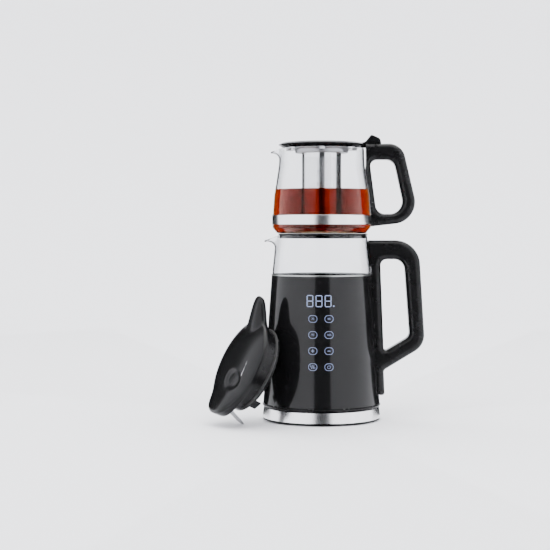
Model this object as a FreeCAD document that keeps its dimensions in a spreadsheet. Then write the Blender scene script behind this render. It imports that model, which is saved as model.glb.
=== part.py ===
import FreeCAD, Part

import math
import os

import Sketcher

# A glass kettle on a round cordless base, with a glass teapot that stands on the kettle's mouth.
# Millimetres, +Z up. The origin is the middle of the base on the surface that it stands on.
# The handles point along +X, the spouts along -X and the touch panel faces -Y.

Vector = FreeCAD.Vector
Rotation = FreeCAD.Rotation
Placement = FreeCAD.Placement

DRIVING_SIZES = {
    # Power base
    "base_flare": 0.0,
    "base_taper": 1.8,
    "base_floor_gap": 1.2,
    "base_shell": 2.0,
    "base_height": 17.4,
    "band_bottom": 3.2,
    "band_top": 16.4,
    "band_wall": 1.0,
    "foot_radius": 6.0,
    "foot_inset": 13.0,
    "foot_sink": 1.0,
    "screw_inset": 23.0,
    "screw_head_radius": 3.2,
    "screw_shank_radius": 1.6,
    "socket_radius": 17.0,
    "socket_top": 29.0,
    "socket_flange": 30.0,
    "outlet_width": 14.0,
    "outlet_height": 8.0,
    # Running and assembly clearances
    "play": 0.3,
    "seat": 0.05,
    # Round coupler under the kettle
    "coupler_radius": 26.0,
    "coupler_top": 33.6,
    "coupler_wall": 2.2,
    # Kettle housing
    "lip_flare": 1.0,
    "housing_bottom": 21.0,
    "housing_low_flare": 12.6,
    "housing_mid_height": 133.0,
    "housing_mid_flare": 4.3,
    "housing_top": 183.0,
    "housing_top_flare": 0.7,
    "housing_wall": 2.6,
    "trim_height": 1.8,
    # Kettle glass
    "jug_bottom": 42.6,
    "jug_bottom_radius": 61.4,
    "jug_shoulder_rise": 5.0,
    "jug_shoulder_flare": 1.5,
    "jug_neck": 46.0,
    "jug_rim_draw": 4.9,
    "glass_wall": 2.0,
    "jug_spout_out": 17.5,
    "jug_spout_drop": 6.5,
    "jug_spout_depth": 13.0,
    "jug_spout_half_width": 19.0,
    # Heating parts
    "plate_height": 40.0,
    "plate_wall": 1.2,
    "element_inset": 23.4,
    "element_tube": 3.6,
    "spreader_wall": 1.6,
    "sensor_radius": 2.5,
    "sensor_reach": 20.0,
    "board_height": 24.6,
    "board_wall": 1.6,
    # Touch panel
    "panel_bottom": 56.0,
    "panel_below_top": 17.0,
    "panel_angle": 44.0,
    "panel_wall": 1.0,
    "display_below_panel": 1.6,
    "display_height": 18.4,
    "display_angle": 34.0,
    "key_size": 10.0,
    "key_pitch_up": 19.5,
    "key_pitch_round": 20.5,
    "key_low": 75.4,
    # Kettle handle
    "handle_below_rim": 6.3,
    "handle_out_top": 43.2,
    "handle_out_low": 51.4,
    "handle_low_corner": 94.8,
    "handle_low_join": 63.0,
    "handle_foot": 31.0,
    "handle_spine_depth": 12.4,
    "handle_width": 26.0,
    "handle_round": 7.0,
    "gap_inset_top": 5.2,
    "gap_inset_low": 0.6,
    "handle_grip_top": 18.4,
    "handle_grip_low": 19.4,
    "handle_bar": 24.1,
    "gap_low_left": 86.3,
    "gap_low_right": 105.9,
    "pad_gap": 1.0,
    "pad_width": 14.0,
    # Ring between kettle and teapot
    "mouth_ring_rise": 2.0,
    "mouth_ring_wall": 1.6,
    "mouth_ring_gap_angle": 44.0,
    # Teapot glass
    "pot_foot_inset": 0.6,
    "pot_bulge_flare": 5.4,
    "pot_bulge_rise": 8.0,
    "pot_band_inset": 0.8,
    "pot_shoulder_draw": 1.6,
    "pot_shoulder_rise": 24.6,
    "pot_neck_draw": 5.8,
    "pot_neck_rise": 38.0,
    "pot_rim_draw": 0.8,
    "pot_rim_rise": 21.3,
    "pot_spout_out": 10.2,
    "pot_spout_drop": 4.6,
    "pot_spout_depth": 11.0,
    "pot_spout_half_width": 15.0,
    # Steel band round the teapot
    "pot_band_rise": 11.5,
    "pot_band_height": 11.9,
    "pot_band_wall": 1.0,
    "tail_width": 10.0,
    # Teapot handle
    "grip_rise": 6.3,
    "grip_out_top": 47.6,
    "grip_out_low": 62.6,
    "grip_corner_rise": 4.5,
    "grip_join_drop": 2.8,
    "grip_width": 24.0,
    "grip_round": 6.5,
    "grip_bar": 20.3,
    "loop_out_top": 6.6,
    "grip_thick_top": 10.3,
    "loop_rise": 1.6,
    "loop_out_low": 7.6,
    "grip_thick_low": 18.6,
    # Teapot lid
    "hinge_out": 14.2,
    "hinge_rise": 2.7,
    "hinge_pin_radius": 2.0,
    "running_fit": 0.05,
    "lug_width": 13.0,
    "hinge_pocket_radius": 15.2,
    "cap_gap": 1.0,
    "cap_overhang": 0.8,
    "cap_edge_rise": 4.5,
    "cap_crown": 3.9,
    "jaw_inset": 8.8,
    "jaw_depth": 3.2,
    # Infuser
    "infuser_radius": 25.0,
    "infuser_wall": 0.6,
    "infuser_rise": 1.5,
    "collar_radius": 34.0,
    "collar_drop": 5.3,
    "arm_width": 9.0,
    "slot_width": 1.2,
    "slot_height": 46.0,
    "slot_rise": 7.0,
    # Kettle lid, taken off, in its own frame: plane of its rim at zero, beak along -X
    "lid_radius": 60.0,
    "lid_rise": 12.0,
    "lid_shell": 2.4,
    "lid_beak_reach": 70.0,
    "lid_beak_half_width": 33.0,
    "lid_beak_rise": 7.0,
    "lid_edge": 4.0,
    "horn_reach": 88.0,
    "horn_base": 36.0,
    "horn_height": 20.0,
    "horn_depth": 9.0,
    "horn_base_half_width": 23.0,
    "horn_tip_half_width": 7.5,
    "plug_radius": 53.0,
    "plug_depth": 22.0,
    "plug_wall": 2.0,
    "seal_radius": 55.2,
    "strainer_slope": 11.0,
    "strainer_length": 33.0,
    "strainer_half_width": 10.5,
    "strainer_wall": 0.8,
    "clip_depth": 8.0,
    "clip_width": 13.0,
    "clip_angle": 38.0,
    # How the taken-off lid leans
    "lid_lean": 26.0,
    "lid_turn": 206.0,
    "lid_stand_out": 41.93,
    "lid_stand_angle": 210.88,
}


class Size:
    """A number together with the sheet expression that gives it."""

    def __init__(self, value, text):
        self.value = float(value)
        self.text = text

    def joined(self, other, sign, value):
        return Size(value, "(%s %s %s)" % (self.text, sign, size(other).text))

    def __add__(self, other):
        return self.joined(other, "+", self.value + size(other).value)

    def __sub__(self, other):
        return self.joined(other, "-", self.value - size(other).value)

    def __mul__(self, other):
        return self.joined(other, "*", self.value * size(other).value)

    def __truediv__(self, other):
        return self.joined(other, "/", self.value / size(other).value)

    def __radd__(self, other):
        return size(other) + self

    def __rsub__(self, other):
        return size(other) - self

    def __neg__(self):
        return Size(-self.value, "(-1 * %s)" % self.text)


def size(number):
    """A plain number as a Size; a Size as it is."""
    if isinstance(number, Size):
        return number
    return Size(number, "(%.9g)" % number)


def turned(reach, angle):
    """X and Y of a point at a reach from the axis, at an angle in degrees from +X."""
    reach = size(reach)
    angle = size(angle)
    radians = math.radians(angle.value)
    across = Size(reach.value * math.cos(radians), "(%s * cos(%s))" % (reach.text, angle.text))
    along = Size(reach.value * math.sin(radians), "(%s * sin(%s))" % (reach.text, angle.text))
    return across, along


class Sizes:
    """The driving sizes, one attribute for each alias of the sheet."""

    def __init__(self, document, values):
        sheet = document.addObject("Spreadsheet::Sheet", "Sizes")
        for row, (alias, value) in enumerate(values.items(), start=1):
            sheet.set("A%d" % row, alias)
            sheet.set("B%d" % row, "%.9g" % value)
            sheet.setAlias("B%d" % row, alias)
            setattr(self, alias, Size(value, "Sizes.%s" % alias))


document = FreeCAD.newDocument("tea_maker")
s = Sizes(document, DRIVING_SIZES)
document.recompute()
sub_parts = []

# Heights that follow from what each piece stands on
s.jug_shoulder = s.housing_top + s.jug_shoulder_rise
s.jug_rim = s.jug_shoulder + s.jug_neck
s.handle_top = s.jug_rim - s.handle_below_rim
s.gap_top = s.handle_top - s.handle_bar
s.mouth_ring_top = s.jug_rim + s.mouth_ring_rise
s.pot_bulge_height = s.mouth_ring_top + s.pot_bulge_rise
s.pot_band_bottom = s.mouth_ring_top + s.pot_band_rise
s.pot_band_top = s.pot_band_bottom + s.pot_band_height
s.pot_shoulder_height = s.pot_band_top + s.pot_shoulder_rise
s.pot_neck_height = s.pot_shoulder_height + s.pot_neck_rise
s.pot_rim = s.pot_neck_height + s.pot_rim_rise
s.grip_top = s.pot_rim + s.grip_rise
s.grip_low_corner = s.pot_band_bottom + s.grip_corner_rise
s.grip_low_join = s.pot_band_bottom - s.grip_join_drop
s.loop_top = s.grip_top - s.grip_bar
s.loop_low = s.pot_band_top + s.loop_rise
s.hinge_height = s.pot_rim + s.hinge_rise
s.cap_bottom = s.pot_rim + s.cap_gap
s.cap_edge_height = s.cap_bottom + s.cap_edge_rise
s.cap_top = s.cap_edge_height + s.cap_crown
s.infuser_bottom = s.pot_band_bottom + s.infuser_rise
s.collar_bottom = s.pot_rim - s.collar_drop
s.slot_low = s.infuser_bottom + s.slot_rise

# Radii that follow from the jug
s.jug_shoulder_radius = s.jug_bottom_radius + s.jug_shoulder_flare
s.jug_rim_radius = s.jug_shoulder_radius - s.jug_rim_draw
s.jug_spout_reach = s.jug_rim_radius + s.jug_spout_out
s.element_circle = s.jug_bottom_radius - s.element_inset
s.housing_low_radius = s.jug_bottom_radius + s.housing_low_flare
s.housing_mid_radius = s.jug_shoulder_radius + s.housing_mid_flare
s.housing_top_radius = s.jug_shoulder_radius + s.housing_top_flare
s.lip_radius = s.housing_low_radius + s.lip_flare
s.base_radius = s.lip_radius + s.base_flare
s.base_top_radius = s.base_radius - s.base_taper
s.foot_circle = s.base_radius - s.foot_inset
s.screw_circle = s.base_radius - s.screw_inset
s.pot_foot_radius = s.jug_rim_radius - s.pot_foot_inset
s.pot_bulge_radius = s.pot_foot_radius + s.pot_bulge_flare
s.pot_band_radius = s.pot_bulge_radius - s.pot_band_inset
s.pot_shoulder_radius = s.pot_band_radius - s.pot_shoulder_draw
s.pot_neck_radius = s.pot_shoulder_radius - s.pot_neck_draw
s.pot_rim_radius = s.pot_neck_radius - s.pot_rim_draw
s.pot_spout_reach = s.pot_rim_radius + s.pot_spout_out
s.hinge_reach = s.pot_rim_radius + s.hinge_out
s.cap_edge_radius = s.pot_rim_radius + s.cap_overhang
s.jaw_outer = s.pot_rim_radius - s.jaw_inset

# Panel and display under the housing's upper edge
s.panel_top = s.housing_top - s.panel_below_top
s.display_top = s.panel_top - s.display_below_panel
s.display_bottom = s.display_top - s.display_height

# Reaches of the handles from what they are fixed to, and openings that keep their thickness
s.handle_spine = s.housing_mid_radius + s.handle_spine_depth
s.handle_reach_top = s.handle_spine + s.handle_out_top
s.handle_reach_low = s.handle_spine + s.handle_out_low
s.gap_left_top = s.handle_spine - s.gap_inset_top
s.gap_left_low = s.handle_spine - s.gap_inset_low
s.grip_top_reach = s.pot_rim_radius + s.grip_out_top
s.grip_low_reach = s.pot_band_radius + s.grip_out_low
s.loop_left_top = s.pot_rim_radius + s.loop_out_top
s.loop_left_low = s.pot_band_radius + s.loop_out_low
s.gap_right_top = s.handle_reach_top - s.handle_grip_top
s.gap_right_low = s.handle_reach_low - s.handle_grip_low
s.loop_right_top = s.grip_top_reach - s.grip_thick_top
s.loop_right_low = s.grip_low_reach - s.grip_thick_low


# ---------------------------------------------------------------------------------------------
# Sketches and features
# ---------------------------------------------------------------------------------------------


def bind(target, name, value):
    """Set a property of a feature to a Size and tie it to the sheet."""
    setattr(target, name, value.value)
    target.setExpression(name, value.text)


def new_body(label):
    """A PartDesign body that becomes one named sub-part."""
    body = document.addObject("PartDesign::Body", label)
    body.Label = label
    sub_parts.append(body)
    return body


def new_sketch(body, plane, offset=None):
    """A sketch on one of the body's own origin planes, moved along the plane's normal."""
    sketch = body.newObject("Sketcher::SketchObject", "%s_sketch" % body.Name)
    face = [feature for feature in body.Origin.OriginFeatures if feature.Role == plane][0]
    sketch.AttachmentSupport = [(face, "")]
    sketch.MapMode = "FlatFace"
    if offset is not None:
        sketch.AttachmentOffset = Placement(Vector(0, 0, offset.value), Rotation())
        sketch.setExpression("AttachmentOffset.Base.z", offset.text)
    return sketch


def hold(sketch, kind, element, position, value):
    """Fix one coordinate of a sketch point from the origin and tie it to the sheet."""
    value = size(value)
    index = sketch.addConstraint(Sketcher.Constraint(kind, -1, 1, element, position, value.value))
    if "Sizes" in value.text:
        sketch.setExpression("Constraints[%d]" % index, value.text)


def round_corner(before, corner, after, radius):
    """Tangent points and centre of an arc of a radius in a corner between two points."""
    inward = (before - corner).normalize()
    outward = (after - corner).normalize()
    half = inward.getAngle(outward) / 2
    reach = radius / math.tan(half)
    middle = (inward + outward).normalize()
    centre = corner + middle * (radius / math.sin(half))
    return corner + inward * reach, corner + outward * reach, centre


def corner_arc(start, end, centre, radius):
    """The short arc about a centre from one point to the other, and whether it was reversed."""
    turn = (start - centre).cross(end - centre).z
    first, last = (start, end) if turn > 0 else (end, start)
    angles = [math.atan2(point.y - centre.y, point.x - centre.x) for point in (first, last)]
    if angles[1] < angles[0]:
        angles[1] += 2 * math.pi
    circle = Part.Circle(centre, Vector(0, 0, 1), radius)
    return Part.ArcOfCircle(circle, angles[0], angles[1]), turn < 0


def outline(sketch, corners):
    """A closed outline of straight runs; a corner (x, y, radius) gets a tangent arc."""
    corners = [tuple(size(number) for number in corner) for corner in corners]
    points = [Vector(corner[0].value, corner[1].value, 0) for corner in corners]
    count = len(corners)
    rounds = []
    for index, corner in enumerate(corners):
        if len(corner) == 3:
            before = Vector(points[index - 1])
            after = Vector(points[(index + 1) % count])
            rounds.append(round_corner(before, Vector(points[index]), after, corner[2].value))
        else:
            rounds.append((points[index], points[index], None))
    lines = []
    for index in range(count):
        following = (index + 1) % count
        line = Part.LineSegment(rounds[index][1], rounds[following][0])
        lines.append(sketch.addGeometry(line))
    for index, corner in enumerate(corners):
        start, end, centre = rounds[index]
        coming, going = lines[index - 1], lines[index]
        if centre is None:
            sketch.addConstraint(Sketcher.Constraint("Coincident", coming, 2, going, 1))
            hold(sketch, "DistanceX", going, 1, corner[0])
            hold(sketch, "DistanceY", going, 1, corner[1])
            continue
        arc, backwards = corner_arc(start, end, centre, corner[2].value)
        arc = sketch.addGeometry(arc)
        mark = sketch.addGeometry(Part.Point(points[index]), True)
        hold(sketch, "DistanceX", mark, 1, corner[0])
        hold(sketch, "DistanceY", mark, 1, corner[1])
        sketch.addConstraint(Sketcher.Constraint("PointOnObject", mark, 1, coming))
        sketch.addConstraint(Sketcher.Constraint("PointOnObject", mark, 1, going))
        ends = (2, 1) if backwards else (1, 2)
        sketch.addConstraint(Sketcher.Constraint("Tangent", coming, 2, arc, ends[0]))
        sketch.addConstraint(Sketcher.Constraint("Tangent", going, 1, arc, ends[1]))
        index = sketch.addConstraint(Sketcher.Constraint("Radius", arc, corner[2].value))
        if "Sizes" in corner[2].text:
            sketch.setExpression("Constraints[%d]" % index, corner[2].text)


def circle(sketch, across, along, radius):
    """A circle in a sketch, tied to the sheet."""
    across, along, radius = size(across), size(along), size(radius)
    centre = Vector(across.value, along.value, 0)
    ring = sketch.addGeometry(Part.Circle(centre, Vector(0, 0, 1), radius.value))
    hold(sketch, "DistanceX", ring, 3, across)
    hold(sketch, "DistanceY", ring, 3, along)
    index = sketch.addConstraint(Sketcher.Constraint("Radius", ring, radius.value))
    if "Sizes" in radius.text:
        sketch.setExpression("Constraints[%d]" % index, radius.text)


def scoop(sketch, half_width, top, depth):
    """A closed bow: a flat top of a half width, and an arc below it of a depth."""
    half_width, top, depth = size(half_width), size(top), size(depth)
    radius = (half_width * half_width + depth * depth) / (depth * 2)
    left = Vector(-half_width.value, top.value, 0)
    right = Vector(half_width.value, top.value, 0)
    lowest = Vector(0, top.value - depth.value, 0)
    arc = sketch.addGeometry(Part.Arc(left, lowest, right))
    lid = sketch.addGeometry(Part.LineSegment(right, left))
    sketch.addConstraint(Sketcher.Constraint("Coincident", arc, 2, lid, 1))
    sketch.addConstraint(Sketcher.Constraint("Coincident", arc, 1, lid, 2))
    hold(sketch, "DistanceX", lid, 1, half_width)
    hold(sketch, "DistanceY", lid, 1, top)
    hold(sketch, "DistanceX", lid, 2, -half_width)
    hold(sketch, "DistanceY", lid, 2, top)
    index = sketch.addConstraint(Sketcher.Constraint("Radius", arc, radius.value))
    sketch.setExpression("Constraints[%d]" % index, radius.text)


def revolve(body, corners, angle=None, plane="XZ_Plane", cut=False):
    """Turn an outline about Z, all the way or over an angle that the plane halves."""
    sketch = new_sketch(body, plane)
    outline(sketch, corners)
    kind = "PartDesign::Groove" if cut else "PartDesign::Revolution"
    feature = body.newObject(kind, "%s_turn" % body.Name)
    feature.Profile = sketch
    feature.ReferenceAxis = (sketch, ["V_Axis"])
    if angle is None:
        feature.Angle = 360
    else:
        bind(feature, "Angle", angle)
        feature.Midplane = True
    return feature


def extrude(body, plane, draw, length, offset=None, both_ways=False, cut=False, back=False):
    """Pad or pocket what a function draws, from a plane or evenly to both of its sides."""
    sketch = new_sketch(body, plane, offset)
    draw(sketch)
    kind = "PartDesign::Pocket" if cut else "PartDesign::Pad"
    feature = body.newObject(kind, "%s_block" % body.Name)
    feature.Profile = sketch
    bind(feature, "Length", size(length))
    feature.SideType = "Symmetric" if both_ways else "One side"
    feature.Reversed = back
    return feature


def loft(body, plane, stations, cut=False):
    """A straight-sided loft through scoops at offsets along a plane's normal."""
    sketches = []
    for offset, half_width, top, depth in stations:
        sketch = new_sketch(body, plane, size(offset))
        scoop(sketch, half_width, top, depth)
        sketches.append(sketch)
    kind = "PartDesign::SubtractiveLoft" if cut else "PartDesign::AdditiveLoft"
    feature = body.newObject(kind, "%s_loft" % body.Name)
    feature.Profile = sketches[0]
    feature.Sections = sketches[1:]
    feature.Ruled = True
    return feature


def repeat_round(body, features, count):
    """Copies of features, evenly round Z."""
    pattern = body.newObject("PartDesign::PolarPattern", "%s_round" % body.Name)
    pattern.Originals = features
    axis = [feature for feature in body.Origin.OriginFeatures if feature.Role == "Z_Axis"][0]
    pattern.Axis = (axis, [""])
    pattern.Angle = 360
    pattern.Occurrences = count
    body.Tip = pattern
    return pattern


def round_edges(body, radius, wanted):
    """Fillet the edges of the body's last feature for which the test is true."""
    document.recompute()
    base = body.Tip
    names = []
    for index, edge in enumerate(base.Shape.Edges, start=1):
        if wanted(edge):
            names.append("Edge%d" % index)
    if not names:
        raise ValueError("%s: no edge to round" % body.Label)
    fillet = body.newObject("PartDesign::Fillet", "%s_round" % body.Name)
    fillet.Base = (base, names)
    bind(fillet, "Radius", size(radius))
    return fillet


def side_edges(half_width, lowest=-math.inf, nearest=-math.inf):
    """A test for edges that lie in either side face of a piece that is symmetric about XZ."""
    def wanted(edge):
        box = edge.BoundBox
        flat = box.YLength < 1e-4
        at_side = abs(abs(box.Center.y) - half_width.value) < 1e-4
        return flat and at_side and box.ZMin > lowest and box.XMin > nearest
    return wanted


def column(label, radius, bottom, height):
    """A Part cylinder on the Z axis, tied to the sheet."""
    shape = document.addObject("Part::Cylinder", label)
    bind(shape, "Radius", size(radius))
    bind(shape, "Height", size(height))
    bottom = size(bottom)
    shape.Placement = Placement(Vector(0, 0, bottom.value), Rotation())
    shape.setExpression("Placement.Base.z", bottom.text)
    return shape


def tube(label, outer, inner, bottom, height):
    """A round tube on the Z axis."""
    wall = document.addObject("Part::Cut", label)
    wall.Base = column("%s_outside" % label, outer, bottom, height)
    wall.Tool = column("%s_inside" % label, inner, bottom, height)
    return wall


def group(label, members):
    """Separate solids that share one named sub-part."""
    bundle = document.addObject("Part::Compound", label)
    bundle.Label = label
    bundle.Links = members
    sub_parts.append(bundle)
    return bundle


def place(shape, across, along, up, rotation=None):
    """Put a primitive somewhere, tied to the sheet."""
    where = [size(across), size(along), size(up)]
    shape.Placement = Placement(Vector(*[value.value for value in where]), rotation or Rotation())
    for axis, value in zip("xyz", where):
        shape.setExpression("Placement.Base.%s" % axis, value.text)
    return shape


# ---------------------------------------------------------------------------------------------
# Power base
# ---------------------------------------------------------------------------------------------

cover_top = s.base_floor_gap + s.base_shell
skirt_radius = s.base_top_radius - s.band_wall - s.play
plate_bottom = s.base_height - s.base_shell
opening_radius = s.socket_radius + s.base_shell + s.play


def build_base_bottom_cover():
    """Floor of the base, with its thin black edge under the band and three screw bosses."""
    body = new_body("base_bottom_cover")
    inside = skirt_radius - s.base_shell
    revolve(body, [
        (0, s.base_floor_gap),
        (s.base_radius - 0.6, s.base_floor_gap, 0.8),
        (s.base_radius - 0.6, cover_top),
        (skirt_radius, cover_top),
        (skirt_radius, s.band_bottom + 4),
        (inside, s.band_bottom + 4),
        (inside, cover_top),
        (0, cover_top),
    ])
    boss = extrude(body, "XY_Plane", lambda sketch: circle(sketch, s.screw_circle, 0, 4.2),
                   plate_bottom - cover_top - s.seat, offset=cover_top)
    repeat_round(body, [boss], 3)
    bore = extrude(body, "XY_Plane",
                   lambda sketch: circle(sketch, s.screw_circle, 0, s.screw_shank_radius + s.seat),
                   s.base_height, cut=True, back=True)
    repeat_round(body, [bore], 3)
    seat = extrude(body, "XY_Plane",
                   lambda sketch: circle(sketch, s.screw_circle, 0, s.screw_head_radius + s.seat),
                   cover_top, cut=True, back=True)
    repeat_round(body, [seat], 3)
    foot = extrude(body, "XY_Plane",
                   lambda sketch: circle(sketch, *turned(s.foot_circle, 30), s.foot_radius + s.seat),
                   s.base_floor_gap + s.foot_sink, cut=True, back=True)
    repeat_round(body, [foot], 6)
    extrude(body, "XY_Plane",
            lambda sketch: circle(sketch, 0, 0, s.foot_radius + s.seat),
            s.base_floor_gap + s.foot_sink, cut=True, back=True)
    cut_outlet_slot(body)


def build_base_top_cover():
    """Top plate of the base: a hole for the socket, a ring to stand on and a shallow dish."""
    body = new_body("base_top_cover")
    inside = skirt_radius - s.base_shell
    revolve(body, [
        (opening_radius, plate_bottom),
        (inside, plate_bottom),
        (inside, s.band_bottom + 6),
        (skirt_radius, s.band_bottom + 6),
        (skirt_radius, s.band_top + s.seat),
        (s.base_top_radius, s.band_top + s.seat),
        (s.base_top_radius, s.base_height, 0.5),
        (s.base_top_radius - 6, s.base_height),
        (s.base_top_radius - 8, s.base_height - 0.8),
        (opening_radius + 6, s.base_height - 0.8),
        (opening_radius + 4, s.base_height),
        (opening_radius, s.base_height),
    ])
    bore = extrude(body, "XY_Plane",
                   lambda sketch: circle(sketch, s.screw_circle, 0, s.screw_shank_radius + s.seat),
                   1.2, offset=plate_bottom + 1.2, cut=True)
    repeat_round(body, [bore], 3)
    cut_outlet_slot(body)


def build_base_steel_band():
    """Brushed steel band round the base, a little wider at its foot, slotted for the cord outlet."""
    body = new_body("base_steel_band")
    revolve(body, [
        (s.base_radius - s.band_wall, s.band_bottom),
        (s.base_radius, s.band_bottom),
        (s.base_top_radius, s.band_top),
        (s.base_top_radius - s.band_wall, s.band_top),
    ])
    cut_outlet_slot(body)


def box_outline(sketch, width, low, height):
    """A rectangle about the vertical axis of a sketch."""
    half = width / 2
    outline(sketch, [(-half, low), (half, low), (half, low + height), (-half, low + height)])


outlet_low = s.band_bottom + s.base_shell


def cut_outlet_slot(body):
    """Slot at the back of a skirt for the block that the mains lead would leave by."""
    extrude(body, "XZ_Plane",
            lambda sketch: box_outline(sketch, s.outlet_width + s.seat * 2, outlet_low - s.seat,
                                       s.outlet_height + s.seat * 2),
            s.base_radius + 5, cut=True)


def build_cord_outlet():
    """Outlet for the mains lead at the back of the base: a block through the band with a mouth."""
    body = new_body("cord_outlet")
    extrude(body, "XZ_Plane",
            lambda sketch: box_outline(sketch, s.outlet_width, outlet_low, s.outlet_height),
            s.base_shell * 2 + 1.2, offset=-(s.base_radius - 0.9))
    extrude(body, "XZ_Plane",
            lambda sketch: circle(sketch, 0, outlet_low + s.outlet_height / 2, 2.6),
            s.base_radius * 2, offset=-s.base_radius * 2, cut=True, back=True)


def build_base_feet():
    """Rubber feet sunk into the bottom cover: six near its edge and one under the socket."""
    feet = []
    spots = [turned(s.foot_circle, 30 + 60 * index) for index in range(6)] + [(0, 0)]
    for index, spot in enumerate(spots):
        foot = document.addObject("Part::Cone", "foot_%d" % index)
        bind(foot, "Radius1", s.foot_radius - 0.8)
        bind(foot, "Radius2", s.foot_radius)
        bind(foot, "Height", s.base_floor_gap + s.foot_sink)
        place(foot, *spot, 0)
        feet.append(foot)
    group("base_feet", feet)


def screw(label, head_radius, head_height, shank_radius, length):
    """A pan-head screw that points up, its head's underside at zero height."""
    head = document.addObject("Part::Cylinder", "%s_head" % label)
    bind(head, "Radius", size(head_radius))
    bind(head, "Height", size(head_height))
    head.Placement = Placement(Vector(0, 0, 0), Rotation())
    shank = document.addObject("Part::Cylinder", "%s_shank" % label)
    bind(shank, "Radius", size(shank_radius))
    bind(shank, "Height", size(length) + head_height)
    whole = document.addObject("Part::Fuse", label)
    whole.Base = head
    whole.Tool = shank
    return whole


def build_base_screws():
    """Three screws that hold the two covers of the base together."""
    screws = []
    head_height = cover_top - s.base_floor_gap - 0.4
    for index in range(3):
        fastener = screw("base_screw_%d" % index, s.screw_head_radius, head_height,
                         s.screw_shank_radius, plate_bottom - cover_top + 1.6)
        place(fastener, *turned(s.screw_circle, 120 * index), s.base_floor_gap + 0.4)
        screws.append(fastener)
    group("base_screws", screws)


def build_base_socket():
    """Round socket in the middle of the base: a flange under the top plate and an open tower."""
    body = new_body("base_socket")
    floor = s.base_height
    wall = s.base_shell
    revolve(body, [
        (0, plate_bottom - wall),
        (s.socket_flange, plate_bottom - wall),
        (s.socket_flange, plate_bottom - s.seat),
        (s.socket_radius, plate_bottom - s.seat),
        (s.socket_radius, s.socket_top, 1.2),
        (s.socket_radius - wall, s.socket_top),
        (s.socket_radius - wall, floor),
        (s.socket_radius * 0.72, floor),
        (s.socket_radius * 0.72, floor + 6),
        (s.socket_radius * 0.62, floor + 6),
        (s.socket_radius * 0.62, floor),
        (0, floor),
    ])


def build_base_contacts():
    """Two brass rings and the earth pin, standing on the socket's floor."""
    floor = s.base_height + s.seat
    height = s.socket_top - s.base_height - 3
    group("base_contacts", [
        tube("line_ring", s.socket_radius * 0.86, s.socket_radius * 0.8, floor, height),
        tube("neutral_ring", s.socket_radius * 0.54, s.socket_radius * 0.48, floor, height),
        column("earth_pin", s.socket_radius * 0.09, floor, height + 1.5),
    ])


# ---------------------------------------------------------------------------------------------
# Kettle: underside, housing and heating parts
# ---------------------------------------------------------------------------------------------

ring_bottom = s.base_height + s.play
ring_plate_bottom = ring_bottom + 1.2
ring_plate_top = s.housing_bottom
collar_radius = s.coupler_radius + s.play + s.base_shell
coupler_mouth = s.socket_radius + s.play * 2


handle_screw_heights = (s.handle_foot + 12, s.handle_low_join + 12, s.gap_low_left + 28)
handle_screw_length = size(8)


def housing_outer(shrink):
    """Corners of the housing's outer wall, from the bottom up, moved inwards by a distance."""
    return [
        (s.housing_low_radius - shrink, s.housing_bottom + s.seat),
        (s.housing_mid_radius - shrink, s.housing_mid_height, 400),
        (s.housing_top_radius - shrink, s.housing_top),
    ]


def housing_inner():
    """Corners of the housing's inner wall, from the top down: a straight seat for the glass."""
    bore = s.jug_shoulder_radius + 0.15
    wall = s.housing_wall
    return [
        (bore, s.housing_top),
        (bore, s.housing_mid_height + 25),
        (s.housing_mid_radius - wall, s.housing_mid_height),
        (s.housing_low_radius - wall, s.housing_bottom + s.seat),
    ]


def build_kettle_coupler():
    """Round coupler that drops over the base's socket, so the kettle can stand any way round."""
    body = new_body("kettle_coupler")
    revolve(body, [
        (coupler_mouth, ring_bottom + 0.6),
        (s.coupler_radius, ring_bottom + 0.6),
        (s.coupler_radius, s.coupler_top, 1.0),
        (0, s.coupler_top),
        (0, s.coupler_top - s.coupler_wall),
        (coupler_mouth, s.coupler_top - s.coupler_wall),
    ])


def build_coupler_contacts():
    """Spring blades of the coupler, hanging between the rings of the base's socket."""
    top = s.coupler_top - s.coupler_wall
    low = s.base_height + 3
    height = top - low - s.seat
    group("coupler_contacts", [
        tube("line_blade", s.socket_radius * 0.77, s.socket_radius * 0.73, low + 4, height - 4),
        tube("neutral_blade", s.socket_radius * 0.45, s.socket_radius * 0.41, low, height),
        tube("earth_sleeve", s.socket_radius * 0.18, s.socket_radius * 0.12, low, height),
    ])


def build_kettle_bottom_ring():
    """Underside of the kettle: flared lip, standing rim, collar round the coupler and posts."""
    body = new_body("kettle_bottom_ring")
    inner = s.coupler_radius + s.play
    revolve(body, [
        (inner, ring_plate_bottom),
        (s.lip_radius - 9, ring_plate_bottom),
        (s.lip_radius - 7.5, ring_bottom),
        (s.lip_radius - 1.4, ring_bottom),
        (s.lip_radius, ring_plate_bottom, 0.6),
        (s.lip_radius, ring_plate_top - 0.6, 0.5),
        (s.housing_low_radius, ring_plate_top),
        (collar_radius, ring_plate_top),
        (collar_radius, s.coupler_top - 2),
        (inner, s.coupler_top - 2),
    ])
    post = extrude(body, "XY_Plane",
                   lambda sketch: circle(sketch, *turned(s.element_circle + 12, 22.5), 3),
                   s.board_height - ring_plate_top, offset=ring_plate_top)
    repeat_round(body, [post], 8)


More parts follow.
